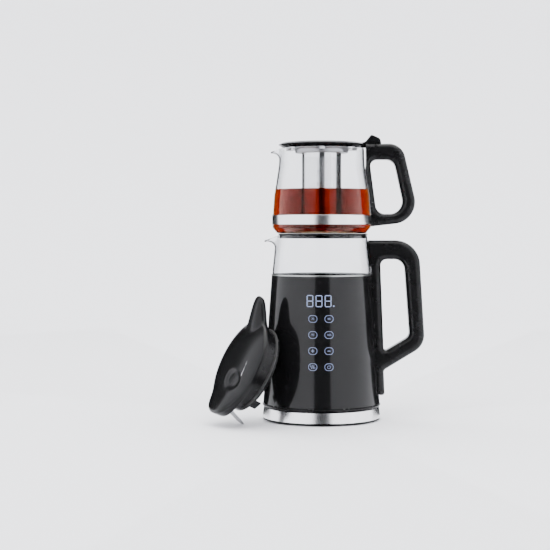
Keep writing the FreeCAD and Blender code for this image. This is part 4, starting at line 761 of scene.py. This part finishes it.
@dataclass
class KettleBody:
    """Kettle without its handle: underside, housing, jug, heating parts and mouth ring."""

    lip_radius: float = 75.0
    lip_bottom: float = 17.7
    lip_plate: float = 19.2
    lip_top: float = 21.0
    housing_low_radius: float = 74.0
    housing_mid: float = 133.0
    housing_mid_radius: float = 67.2
    housing_top: float = 183.0
    housing_top_radius: float = 63.6
    housing_wall: float = 2.6
    trim_height: float = 1.8
    jug_bottom: float = 42.6
    jug_bottom_radius: float = 61.4
    jug_shoulder: float = 188.0
    jug_shoulder_radius: float = 62.9
    jug_rim: float = 234.0
    jug_rim_radius: float = 58.0
    glass_wall: float = 2.0
    play: float = 0.05
    spout: Spout = field(default_factory=lambda: Spout(234.0, 58.0, 72.8, 8.5, 18.0, 22.0))
    ring_top: float = 236.0
    ring_wall: float = 1.6
    ring_gap: float = 44.0
    body: str = "kettle"

    def build(self) -> None:
        """Make the kettle body's pieces."""
        self.housing()
        self.trim()
        self.jug()
        self.mouth_ring()
        for node in ("kettle_handle", "kettle_bottom_ring"):
            dress_smooth(node, BLACK_PLASTIC, self.body)
        dress_smooth("handle_pad", RUBBER, self.body)
        for node, finish in (("heating_plate", PLAIN_STEEL), ("plate_support", PLAIN_STEEL),
                             ("temperature_sensor", BRIGHT_STEEL), ("glass_seal", SILICONE),
                             ("heat_spreader", ALUMINIUM), ("heating_element", PLAIN_STEEL),
                             ("control_board", BOARD_GREEN), ("handle_screws", PLAIN_STEEL),
                             ("touch_electrodes", BRASS), ("display_module", NAVY_WINDOW)):
            dress_smooth(node, finish, self.body)
        for node, finish in (("kettle_coupler", BLACK_PLASTIC), ("coupler_contacts", BRASS)):
            dress_smooth(node, finish, "kettle_coupler")

    def radius_at(self, height: float) -> float:
        """Give the housing's outer radius at a height, in millimetres."""
        if height < self.housing_mid:
            share = (height - self.lip_top) / (self.housing_mid - self.lip_top)
            return self.housing_low_radius + share * (
                self.housing_mid_radius - self.housing_low_radius)
        share = (height - self.housing_mid) / (self.housing_top - self.housing_mid)
        return self.housing_mid_radius + share * (self.housing_top_radius - self.housing_mid_radius)

    def housing(self) -> None:
        """Turn the tapered black housing."""
        bore = self.jug_shoulder_radius + 0.15
        wall = self.housing_wall
        shell = lathe([
            (self.housing_low_radius - wall, self.lip_top + self.play),
            (self.housing_low_radius, self.lip_top + self.play, 0.4),
            (self.housing_mid_radius, self.housing_mid, 400.0),
            (self.housing_top_radius, self.housing_top, 0.5),
            (bore, self.housing_top),
            (bore, self.housing_mid),
        ], steps=256, arc_steps=4)
        finish_piece("housing_shell", shell, HOUSING_BLACK, self.body, ["kettle_housing"])

    def trim(self) -> None:
        """Turn the thin bright ring between the housing and the glass."""
        low = self.housing_top + self.play
        ring = lathe([
            (self.jug_shoulder_radius + self.play, low),
            (self.housing_top_radius, low, 0.3),
            (self.housing_top_radius, low + self.trim_height, 0.5),
            (self.jug_shoulder_radius + self.play, low + self.trim_height, 0.2),
        ], steps=256, arc_steps=3)
        finish_piece("housing_trim", ring, TRIM_STEEL, self.body, ["housing_top_trim"])

    def jug(self) -> None:
        """Turn the glass jug, press out its lip and give it its wall."""
        lean = (self.jug_shoulder_radius - self.jug_rim_radius) / (self.jug_rim - self.jug_shoulder)
        lip_start = self.jug_rim - self.spout.depth - 3
        lip_radius = self.jug_rim_radius + lean * (self.jug_rim - lip_start)
        outline = [
            (self.jug_bottom_radius, self.jug_bottom),
            (self.jug_shoulder_radius, self.jug_shoulder, 90.0),
            (lip_radius, lip_start),
            (self.jug_rim_radius, self.jug_rim),
        ]
        piece = finish_piece("jug_glass", glass_wall(outline, self.spout), CLEAR_GLASS, self.body,
                             ["kettle_glass"], crease=60.0, weigh=False)
        thicken(piece, self.glass_wall)

    def mouth_ring(self) -> None:
        """Turn the ring that the teapot stands on, open at the spout."""
        inner = self.jug_rim_radius - self.glass_wall - 0.2
        ring = lathe([
            (inner - self.ring_wall, self.jug_rim - 4),
            (inner, self.jug_rim - 4),
            (inner, self.jug_rim + 0.1),
            (self.jug_rim_radius + 0.3, self.jug_rim + 0.1, 0.3),
            (self.jug_rim_radius + 0.3, self.ring_top, 0.5),
            (inner - self.ring_wall, self.ring_top, 0.4),
        ], steps=200, start=180 + self.ring_gap / 2, sweep=360 - self.ring_gap, arc_steps=3)
        finish_piece("mouth_rest_ring", ring, BLACK_PLASTIC, self.body, ["mouth_ring"])


def glass_wall(outline: Sequence[Corner], spout: Spout, steps: int = 256,
               lip_rows: int = 18) -> bmesh.types.BMesh:
    """Turn a glass wall's outer face from an open outline whose last edge holds the lip.

    Args:
        outline: corners from the bottom to the rim, in millimetres.
        spout: the lip.
        steps: faces round the wall.
        lip_rows: rows of faces over the lip's height.

    Returns:
        The outer face, open at the rim.
    """
    mesh = bmesh.new()
    draw_outline(mesh, outline, closed=False, arc_steps=10)
    rim = max(mesh.edges, key=lambda edge: sum(vert.co.z for vert in edge.verts))
    bmesh.ops.subdivide_edges(mesh, edges=[rim], cuts=lip_rows)
    bmesh.ops.spin(mesh, geom=list(mesh.verts) + list(mesh.edges), cent=(0, 0, 0), axis=(0, 0, 1),
                   dvec=(0, 0, 0), angle=math.tau, steps=steps, use_merge=True,
                   use_duplicate=False)
    tidy(mesh)
    middle = mesh.faces[:][len(mesh.faces) // 2]
    if middle.normal.dot(Vector((*middle.calc_center_median().xy, 0))) < 0:
        bmesh.ops.reverse_faces(mesh, faces=mesh.faces)
    bend_back(mesh.verts, spout.press)
    return mesh


def thicken(piece: bpy.types.Object, wall: float) -> None:
    """Give an outer face its wall, inwards, with a rounded rim."""
    shell = piece.modifiers.new("wall", "SOLIDIFY")
    shell.thickness = wall * MM
    shell.offset = -1.0
    shell.use_even_offset = True
    soft = piece.modifiers.new("soft_rim", "BEVEL")
    soft.width = wall * MM * 0.42
    soft.segments = 3
    soft.limit_method = "ANGLE"
    soft.angle_limit = math.radians(60)


@dataclass
class TouchPanel:
    """Gloss panel in the housing's front with its lamp digits and key marks."""

    kettle: KettleBody
    low: float = 56.0
    high: float = 166.0
    angle: float = 44.0
    proud: float = 0.05
    deep: float = 0.9
    digit_width: float = 8.2
    digit_height: float = 14.4
    digit_pitch: float = 11.2
    digit_bar: float = 0.95
    digit_middle: float = -3.0
    digit_low: float = 146.3
    key_left: float = -10.6
    key_right: float = 9.4
    key_low: float = 72.9
    key_pitch: float = 19.6
    key_half_width: float = 5.5
    key_half_height: float = 4.5
    key_corner: float = 4.0
    key_line: float = 0.62
    figure: float = 2.7
    mark_lift: float = 0.11
    body: str = "kettle"

    def build(self) -> None:
        """Make the panel, its lamps and its marks."""
        self.panel()
        self.digits()
        self.keys()

    def panel(self) -> None:
        """Turn the panel's thin shell on the housing's front."""
        middle = self.kettle.housing_mid
        reach = self.kettle.radius_at
        shell = lathe([
            (reach(self.low) - self.deep, self.low),
            (reach(self.low) + self.proud, self.low, 0.08),
            (reach(middle) + self.proud, middle, 400.0),
            (reach(self.high) + self.proud, self.high, 0.08),
            (reach(self.high) - self.deep, self.high),
        ], steps=32, start=270 - self.angle / 2, sweep=self.angle, arc_steps=3)
        finish_piece("front_panel", shell, PANEL_BLACK, self.body, ["touch_panel"])

    def wrap(self, mesh: bmesh.types.BMesh, lift: float) -> bmesh.types.BMesh:
        """Lay a flat mark round the housing's front.

        Args:
            mesh: the mark in the XZ plane, in its place.
            lift: how far it stands out of the housing, in millimetres.

        Returns:
            The same mesh.
        """
        bmesh.ops.subdivide_edges(mesh, edges=[e for e in mesh.edges if e.calc_length() > 3 * MM],
                                  cuts=3)

        def round_front(place: Vector) -> Vector:
            radius = (self.kettle.radius_at(place.z / MM) + lift) * MM
            angle = place.x / radius
            return Vector((radius * math.sin(angle), -radius * math.cos(angle), place.z))

        bend_back(mesh.verts, round_front)
        return mesh

    def bar(self, across: float, up: float, length: float, upright: bool) -> bmesh.types.BMesh:
        """Make one pointed bar of a digit.

        Args:
            across: its middle across the front.
            up: its middle's height.
            length: from point to point.
            upright: whether it stands.

        Returns:
            The flat bar in the XZ plane.
        """
        half, thick = length / 2, self.digit_bar / 2
        points = [(-half, 0), (-half + thick, -thick), (half - thick, -thick), (half, 0),
                  (half - thick, thick), (-half + thick, thick)]
        if upright:
            points = [(-y, x) for x, y in points]
        return flat_shape([(across + x, up + y) for x, y in points])

    def digit(self, middle: float) -> list[bmesh.types.BMesh]:
        """Make the seven bars of a digit, all lit, about a middle."""
        side = (self.digit_width - self.digit_bar) / 2
        rise = (self.digit_height - self.digit_bar) / 2
        centre = self.digit_low + self.digit_height / 2
        wide, tall = side * 2 - 0.35, rise - 0.35
        bars = [self.bar(middle, centre + rise * step, wide, False) for step in (-1, 0, 1)]
        for left_or_right in (-side, side):
            for level in (-0.5, 0.5):
                bars.append(self.bar(middle + left_or_right, centre + rise * level, tall, True))
        return bars

    def digits(self) -> None:
        """Make the three lamp digits and the small mark after them."""
        bars = []
        for index in (-1, 0, 1):
            bars += self.digit(self.digit_middle + self.digit_pitch * index)
        dot = self.digit_middle + self.digit_pitch * 1.5 + 1.4
        bars.append(shifted(flat_shape(capsule(0.8, 0.8, 0.35)), dot, self.digit_low + 1.0))
        finish_piece("lamp_digits", self.wrap(joined(*bars), self.mark_lift), LAMP_BLUE, self.body)

    def keys(self) -> None:
        """Make the key outlines and what stands in each."""
        ring = []
        glyphs = []
        labels = [["warm", "power"], ["plus", "minus"], ["90", "100"], ["70", "80"]]
        for row, pair in enumerate(labels):
            for across, label in zip((self.key_left, self.key_right), pair):
                up = self.key_low + self.key_pitch * row
                line = self.key_line
                ring.append(shifted(flat_ring(
                    capsule(self.key_half_width, self.key_half_height, self.key_corner),
                    capsule(self.key_half_width - line, self.key_half_height - line,
                            self.key_corner - line * 0.6)), across, up))
                glyphs += [shifted(part, across, up) for part in self.glyph(label)]
        finish_piece("key_outlines", self.wrap(joined(*ring), self.mark_lift), KEY_BLUE, self.body)
        finish_piece("key_figures", self.wrap(joined(*glyphs), self.mark_lift), KEY_BLUE, self.body)

    def glyph(self, label: str) -> list[bmesh.types.BMesh]:
        """Make what stands in one key.

        Args:
            label: a number, or the name of a sign.

        Returns:
            Flat meshes about the origin, in the XZ plane.
        """
        arm = 1.9
        half = 0.45
        level = flat_shape([(-arm, -half), (arm, -half), (arm, half), (-arm, half)])
        if label == "minus":
            return [level]
        if label == "plus":
            above = flat_shape([(-half, half), (half, half), (half, arm), (-half, arm)])
            below = flat_shape([(-half, -arm), (half, -arm), (half, -half), (-half, -half)])
            return [level, above, below]
        level.free()
        if label == "power":
            return [self.open_ring(1.9, 0.5, 60.0, 90.0),
                    flat_shape([(-0.25, 0.5), (0.25, 0.5), (0.25, 2.5), (-0.25, 2.5)])]
        if label == "warm":
            return [shifted(self.open_ring(1.0, 0.45, 180.0, side), across, up)
                    for across in (-1.9, 0.0, 1.9) for side, up in ((0.0, 1.0), (180.0, -1.0))]
        return [lettering(label, self.figure, "figure_%s" % label)]

    def open_ring(self, radius: float, line: float, gap: float,
                  facing: float) -> bmesh.types.BMesh:
        """Make a flat ring with a gap.

        Args:
            radius: to the middle of its line.
            line: how wide the line is.
            gap: how much of the turn is left out, in degrees.
            facing: where the gap is, in degrees from +X.

        Returns:
            The flat ring in the XZ plane.
        """
        mesh = bmesh.new()
        inner = mesh.verts.new(((radius - line / 2) * MM, 0, 0))
        outer = mesh.verts.new(((radius + line / 2) * MM, 0, 0))
        edge = mesh.edges.new((inner, outer))
        bmesh.ops.rotate(mesh, verts=[inner, outer], cent=(0, 0, 0),
                         matrix=Matrix.Rotation(-math.radians(facing + gap / 2), 3, "Y"))
        bmesh.ops.spin(mesh, geom=[inner, outer, edge], cent=(0, 0, 0), axis=(0, 1, 0),
                       dvec=(0, 0, 0), angle=-math.radians(360.0 - gap), steps=24, use_merge=False,
                       use_duplicate=False)
        return mesh


# ---------------------------------------------------------------------------------------------
# Teapot
# ---------------------------------------------------------------------------------------------


@dataclass
class Teapot:
    """Glass teapot with its steel band, handle, infuser and tea."""

    bottom: float = 236.3
    foot_radius: float = 57.4
    bulge_radius: float = 62.8
    bulge_height: float = 244.0
    band_radius: float = 62.0
    band_bottom: float = 247.5
    band_top: float = 259.4
    band_wall: float = 1.0
    shoulder_radius: float = 60.4
    shoulder_height: float = 284.0
    neck_radius: float = 54.6
    neck_height: float = 322.0
    rim_radius: float = 53.8
    rim: float = 343.3
    glass_wall: float = 2.0
    play: float = 0.05
    spout: Spout = field(default_factory=lambda: Spout(343.3, 53.8, 64.5, 5.4, 14.0, 17.0))
    tea_level: float = 292.0
    tea_inset: float = 0.5
    infuser_radius: float = 25.0
    infuser_wall: float = 0.6
    infuser_bottom: float = 249.0
    collar_bottom: float = 338.0
    collar_radius: float = 34.0
    body: str = "teapot"

    def build(self) -> None:
        """Make the teapot's pieces."""
        self.glass()
        self.band()
        self.tea()
        self.infuser()
        self.level_marks()
        dress_smooth("teapot_handle", BLACK_PLASTIC, self.body)
        for node, finish in (("lid_hinge_pin", BRIGHT_STEEL), ("band_screw", PLAIN_STEEL)):
            dress_smooth(node, finish, self.body)

    def wall(self, inwards: float) -> list[Corner]:
        """Give the wall's corners from the bulge up to the neck, moved inwards."""
        return [
            (self.bulge_radius - inwards, self.bulge_height, 4.5),
            (self.band_radius - inwards, self.band_bottom - 0.5, 3.0),
            (self.band_radius - inwards, self.band_top + 0.5),
            (self.shoulder_radius - inwards, self.shoulder_height, 60.0),
            (self.neck_radius - inwards, self.neck_height, 24.0),
        ]

    def glass(self) -> None:
        """Turn the glass, press out its lip and give it its wall."""
        lip_start = self.rim - self.spout.depth - 2
        share = (lip_start - self.neck_height) / (self.rim - self.neck_height)
        lip_radius = self.neck_radius + share * (self.rim_radius - self.neck_radius)
        outline = [
            (0, self.bottom + 2.2),
            (self.foot_radius - 8, self.bottom + 2.0, 3.0),
            (self.foot_radius - 4, self.bottom, 1.2),
            (self.foot_radius - 0.6, self.bottom + 0.1, 1.2),
        ] + self.wall(0) + [(lip_radius, lip_start), (self.rim_radius, self.rim)]
        piece = finish_piece("pot_glass", glass_wall(outline, self.spout), CLEAR_GLASS, self.body,
                             ["teapot_glass"], crease=60.0, weigh=False)
        thicken(piece, self.glass_wall)

    def band(self) -> None:
        """Turn the steel band round the waist."""
        inner = self.band_radius + self.play
        outer = inner + self.band_wall
        ring = lathe([(inner, self.band_bottom, 0.2), (outer, self.band_bottom, 0.35),
                      (outer, self.band_top, 0.35), (inner, self.band_top, 0.2)],
                     steps=256, arc_steps=3)
        finish_piece("waist_band", ring, TURNED_STEEL, self.body, ["teapot_band"])

    def tea(self) -> None:
        """Fill the pot with tea to its level, round and inside the infuser."""
        share = (self.tea_level - self.shoulder_height) / (self.neck_height - self.shoulder_height)
        top_radius = self.shoulder_radius + share * (self.neck_radius - self.shoulder_radius)
        floor = self.bottom + self.tea_inset
        corners = [(0, floor + 2.0), (self.foot_radius - 8, floor + 2.0, 2.0),
                   (self.foot_radius - 4, floor, 1.0), (self.foot_radius - 1.2, floor, 1.0)]
        corners += self.wall(self.tea_inset)[:4]
        corners += [(top_radius - self.tea_inset, self.tea_level), (0, self.tea_level)]
        finish_piece("tea", lathe(corners, closed=False), TEA, self.body,
                     crease=50.0, weigh=False)

    def infuser(self) -> None:
        """Turn the infuser's tube and dress its floor and its collar."""
        tube = lathe([
            (self.infuser_radius - self.infuser_wall, self.infuser_bottom, 0.2),
            (self.infuser_radius, self.infuser_bottom, 0.2),
            (self.infuser_radius, self.collar_bottom + self.infuser_wall),
            (self.infuser_radius - self.infuser_wall, self.collar_bottom + self.infuser_wall),
        ], steps=192, arc_steps=2)
        finish_piece("infuser_sleeve", tube, MESH_STEEL, self.body, ["infuser_tube"])
        dress_smooth("infuser_floor", MESH_STEEL, self.body)
        dress_smooth("infuser_collar", MATT_STEEL, self.body)

    def level_marks(self) -> None:
        """Print the level marks on the glass: plain numbers with a line under each."""
        marks = []
        for text, height in (("0.8", 312.5), ("0.6", 297.5)):
            marks.append(shifted(lettering(text, 3.0, "level_%s" % text), -3.2, height))
            marks.append(shifted(flat_shape([(-3, 0), (3, 0), (3, 0.4), (-3, 0.4)]), -3.2,
                                 height - 3.0))
        ink = joined(*marks)

        def round_glass(place: Vector) -> Vector:
            share = (place.z / MM - self.shoulder_height) / (self.neck_height - self.shoulder_height)
            radius = self.shoulder_radius + share * (self.neck_radius - self.shoulder_radius) + 0.4
            angle = place.x / (radius * MM)
            return Vector((radius * MM * math.sin(angle), -radius * MM * math.cos(angle), place.z))

        bend_back(ink.verts, round_glass)
        finish_piece("level_marks", ink, LEVEL_INK, self.body)


@dataclass
class TeapotLid:
    """Teapot lid: thin dome with a knife edge, thumb lug and hinge knuckle."""

    bottom: float = 344.3
    edge_radius: float = 54.6
    edge_height: float = 348.8
    top: float = 352.7
    plate_radius: float = 45.0
    hinge_reach: float = 68.0
    hinge_height: float = 346.0
    lug_half_width: float = 6.5
    lug_rounding: float = 1.8
    body: str = "teapot_lid"

    def build(self) -> None:
        """Make the lid's pieces."""
        reach, height = self.hinge_reach, self.hinge_height
        dome = lathe([
            (0, self.bottom + 1.4),
            (self.plate_radius + 0.3, self.bottom + 1.4),
            (self.plate_radius + 0.3, self.bottom, 0.3),
            (self.edge_radius - 6, self.bottom, 1.2),
            (self.edge_radius, self.edge_height - 0.6, 0.25),
            (self.edge_radius, self.edge_height, 0.25),
            (self.edge_radius - 4.5, self.top - 1.7, 8.0),
            (0, self.top),
        ], closed=False, steps=256)
        lug = slab([
            (self.plate_radius + 1, self.bottom + 0.6),
            (self.plate_radius + 1, self.top - 1.4),
            (reach - 13.5, self.top - 1.6, 12.0),
            (reach - 5.4, height + 15.4, 2.4),
            (reach + 6.2, height + 10.6, 6.0),
            (reach + 8.0, height, 4.0),
            (reach + 4.0, height - 6, 4.0),
            (reach - 5.0, height - 6, 4.0),
            (reach - 8.0, self.bottom, 2.4),
        ], None, self.lug_half_width, self.lug_rounding, round_steps=4)
        finish_piece("pot_lid_dome", joined(dome, lug), LID_PLASTIC, self.body, ["teapot_lid"])
        dress_smooth("teapot_lid_inner", PLAIN_STEEL, self.body)


# ---------------------------------------------------------------------------------------------
# Kettle lid, taken off
# ---------------------------------------------------------------------------------------------


@dataclass
class KettleLid:
    """The kettle's own lid, leaning beside the base. Its shape is drawn lying flat, beak at -X."""

    radius: float = 59.2
    rise: float = 11.9
    edge: float = 4.0
    shell: float = 2.4
    fullness: float = 3.0
    beak_out: float = 9.7
    beak_up: float = 6.4
    beak_angle: float = 33.0
    horn_out: float = 27.6
    horn_up: float = 13.0
    horn_angle: float = 13.0
    hollow_middle: tuple[float, float] = (-22.0, -19.0)
    hollow_length: float = 15.0
    hollow_width: float = 21.0
    hollow_depth: float = 2.0
    slit_middle: tuple[float, float] = (-6.0, -37.0)
    slit_length: float = 19.0
    slit_width: float = 0.9
    lean: float = 26.0
    turn: float = 206.0
    place: tuple[float, float, float] = (-99.5, -59.5, 75.14)
    body: str = "kettle_lid"

    def build(self) -> None:
        """Make the lid's pieces."""
        self.dome()
        self.slit()
        dress_smooth("kettle_lid_plug", BLACK_PLASTIC, self.body)
        dress_smooth("lid_clips", BLACK_PLASTIC, self.body)
        dress_smooth("kettle_lid_seal", RUBBER, self.body)
        dress_smooth("spout_strainer", MATT_STEEL, self.body)

    def height_at(self, reach: float) -> float:
        """Give the dome's height at a distance from its middle."""
        return self.rise - (self.rise - 2.2) * (reach / self.radius) ** self.fullness

    def sculpt(self, place: Vector) -> Vector:
        """Give where a point of the plain dome goes: out to beak and horn, and into the hollow."""
        reach = math.hypot(place.x, place.y) / MM
        if reach < 1e-6:
            return place
        turn = math.degrees(math.atan2(abs(place.y), place.x))
        outer = eased((reach - 34.0) / (self.radius - 34.0))
        beak = math.exp(-((180.0 - turn) / self.beak_angle) ** 3.2) * outer
        horn = math.exp(-(turn / self.horn_angle) ** 2.6) * eased(
            (reach - 38.0) / (self.radius - 38.0))
        stretch = 1.0 + (self.beak_out * beak + self.horn_out * horn) / reach
        up = self.beak_up * beak * (place.z > -1.0 * MM) + self.horn_up * horn
        away = math.hypot((place.x / MM - self.hollow_middle[0]) / self.hollow_length,
                          (place.y / MM - self.hollow_middle[1]) / self.hollow_width)
        dip = self.hollow_depth * eased((1.0 - away) * 2.2)
        return Vector((place.x * stretch, place.y * stretch, place.z + (up - dip) * MM))

    def stood(self, mesh: bmesh.types.BMesh) -> bmesh.types.BMesh:
        """Lean a mesh that was drawn lying flat against its place beside the base."""
        lean, turn = math.radians(self.lean), math.radians(self.turn)
        facing = Vector((math.cos(turn), math.sin(turn), 0))
        up = Vector((0, 0, 1))
        top = facing * math.cos(lean) + up * math.sin(lean)
        back = up * math.cos(lean) - facing * math.sin(lean)
        turned = Matrix((back, top.cross(back), top)).transposed()
        bmesh.ops.rotate(mesh, verts=mesh.verts, cent=(0, 0, 0), matrix=turned)
        bmesh.ops.translate(mesh, verts=mesh.verts, vec=Vector(self.place) * MM)
        return mesh

    def dome(self) -> None:
        """Turn a plain dome and sculpt it into the lid."""
        rows = 26
        rim = self.radius - 2.4
        outside = [(rim * row / rows, self.height_at(rim * row / rows)) for row in range(rows + 1)]
        inner = self.radius - 3.3
        inside = [(inner * row / rows, min(self.height_at(inner * row / rows) - self.shell, 9.4))
                  for row in range(rows, -1, -1)]
        profile = outside + [(self.radius, 1.4, 3.0), (self.radius - 1.0, -self.edge, 0.8),
                             (inner, -self.edge, 0.8)] + inside
        mesh = lathe(profile, closed=False, steps=360, arc_steps=5)
        bend_back(mesh.verts, self.sculpt)
        finish_piece("kettle_lid_dome", self.stood(mesh), LID_PLASTIC, self.body, ["kettle_lid"],
                     crease=50.0, weigh=False)

    def slit(self) -> None:
        """Set the thin bright slit beside the hollow."""
        across, along = self.slit_middle
        half = self.slit_length / 2
        high = self.height_at(math.hypot(across, along))
        strip = solid_box((across - half, along - self.slit_width / 2, high - 1.0),
                          (across + half, along + self.slit_width / 2, high + 0.10))
        bmesh.ops.bevel(strip, geom=list(strip.edges), offset=0.2 * MM, offset_type="OFFSET",
                        segments=2, profile=0.5, affect="EDGES", material=-1)
        finish_piece("kettle_lid_slit", self.stood(strip), BRIGHT_STEEL, self.body)


def eased(share: float) -> float:
    """Ease a share from nought to one, and hold it there outside."""
    share = min(max(share, 0.0), 1.0)
    return share * share * (3.0 - 2.0 * share)


# ---------------------------------------------------------------------------------------------
# Stage, light and camera
# ---------------------------------------------------------------------------------------------


@dataclass
class Studio:
    """Pale floor that curves up all round, soft boxes, dark flags and the camera."""

    floor_radius: float = 2600.0
    curve: float = 900.0
    wall_height: float = 3000.0
    camera_distance: float = 1700.0
    camera_height: float = 240.0
    aim_across: float = -59.2
    aim_height: float = 183.3
    focal: float = 87.4

    def build(self) -> None:
        """Set up the stage, the lights and the camera."""
        self.floor()
        self.world()
        self.soft_box("left_box", -63.0, 1350.0, 1050.0, 3000.0, 2100.0, 2.9)
        self.soft_box("right_box", 80.0, 1350.0, 1050.0, 1500.0, 2100.0, 4.0)
        self.top_box()
        self.flag("front_flag", 2.0, 1450.0, 830.0)
        self.flag("left_flag", -140.0, 1500.0, 1180.0)
        self.flag("right_flag", 140.0, 1500.0, 1180.0)
        self.camera()

    def floor(self) -> None:
        """Turn the floor and its rising wall."""
        mesh = lathe([(0, 0), (self.floor_radius, 0, self.curve),
                      (self.floor_radius, self.wall_height)], closed=False, steps=96, arc_steps=16)
        bmesh.ops.recalc_face_normals(mesh, faces=mesh.faces)
        stage = loose_object(mesh, "stage_floor")
        stage.data.shade_smooth()
        stage.data.materials.append(PALE_STAGE.material())

    def world(self) -> None:
        """Give the room its even pale light."""
        room = bpy.data.worlds.new("pale_room")
        room.use_nodes = True
        background = room.node_tree.nodes["Background"]
        background.inputs["Color"].default_value = (0.93, 0.95, 1.0, 1.0)
        background.inputs["Strength"].default_value = 1.1
        bpy.context.scene.world = room

    @staticmethod
    def aim(thing: bpy.types.Object, place: Vector, target: Vector) -> None:
        """Put a light or a camera somewhere and turn it to a point."""
        thing.location = place
        thing.rotation_euler = (target - place).to_track_quat("-Z", "Y").to_euler()
        bpy.context.scene.collection.objects.link(thing)

    def soft_box(self, name: str, azimuth: float, distance: float, height: float, width: float,
                 tall: float, power: float) -> None:
        """Hang a soft box in front, turned by an azimuth from -Y towards +X.

        Args:
            name: its name.
            azimuth: where it hangs, in degrees.
            distance: how far from the middle, in millimetres.
            height: its middle's height.
            width: its width.
            tall: its height from edge to edge.
            power: its power in watts.
        """
        light = bpy.data.lights.new(name, "AREA")
        light.shape = "RECTANGLE"
        light.size = width * MM
        light.size_y = tall * MM
        light.energy = power
        light.color = (1.0, 0.99, 0.975)
        turn = math.radians(azimuth)
        place = Vector((math.sin(turn) * distance, -math.cos(turn) * distance, height)) * MM
        self.aim(bpy.data.objects.new(name, light), place, Vector((0, 0, 0.2)))

    def top_box(self) -> None:
        """Hang a wide soft box overhead."""
        light = bpy.data.lights.new("top_box", "AREA")
        light.shape = "RECTANGLE"
        light.size = 4.0
        light.size_y = 4.0
        light.energy = 210.0
        self.aim(bpy.data.objects.new("top_box", light), Vector((0, 0.2, 2.6)),
                 Vector((0, 0, 0.2)))

    def flag(self, name: str, azimuth: float, distance: float, width: float) -> None:
        """Stand a dark flag that only reflections show, with a wedge on the floor before it.

        Args:
            name: its name.
            azimuth: where it stands, in degrees from -Y towards +X.
            distance: how far from the middle.
            width: its width.
        """
        board = solid_box((-width / 2, -distance - 10, 0), (width / 2, -distance, 1900))
        wedge = bmesh.new()
        corners = [(0, 0, 0.2), (-width / 2, -distance, 0.2), (width / 2, -distance, 0.2)]
        wedge.faces.new([wedge.verts.new(Vector(corner) * MM) for corner in corners])
        both = joined(board, wedge)
        bmesh.ops.rotate(both, verts=both.verts, cent=(0, 0, 0),
                         matrix=Matrix.Rotation(math.radians(azimuth), 3, "Z"))
        flag = loose_object(both, name)
        flag.data.materials.append(FLAG_BLACK.material())
        flag.visible_camera = False
        flag.visible_diffuse = False
        flag.visible_shadow = False

    def camera(self) -> None:
        """Set up the camera."""
        lens = bpy.data.cameras.new("camera")
        lens.sensor_width = 36.0
        lens.lens = self.focal
        lens.clip_start = 0.02
        view = bpy.data.objects.new("camera", lens)
        place = Vector((0, -self.camera_distance, self.camera_height)) * MM
        self.aim(view, place, Vector((self.aim_across, 0, self.aim_height)) * MM)
        bpy.context.scene.camera = view


def main() -> None:
    """Build every piece in order."""
    logging.basicConfig(level=logging.INFO, format="%(name)s: %(message)s")
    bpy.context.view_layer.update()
    Studio().build()
    PowerBase().build()
    kettle = KettleBody()
    kettle.build()
    TouchPanel(kettle).build()
    Teapot().build()
    TeapotLid().build()
    KettleLid().build()


if __name__ == "__main__":
    main()
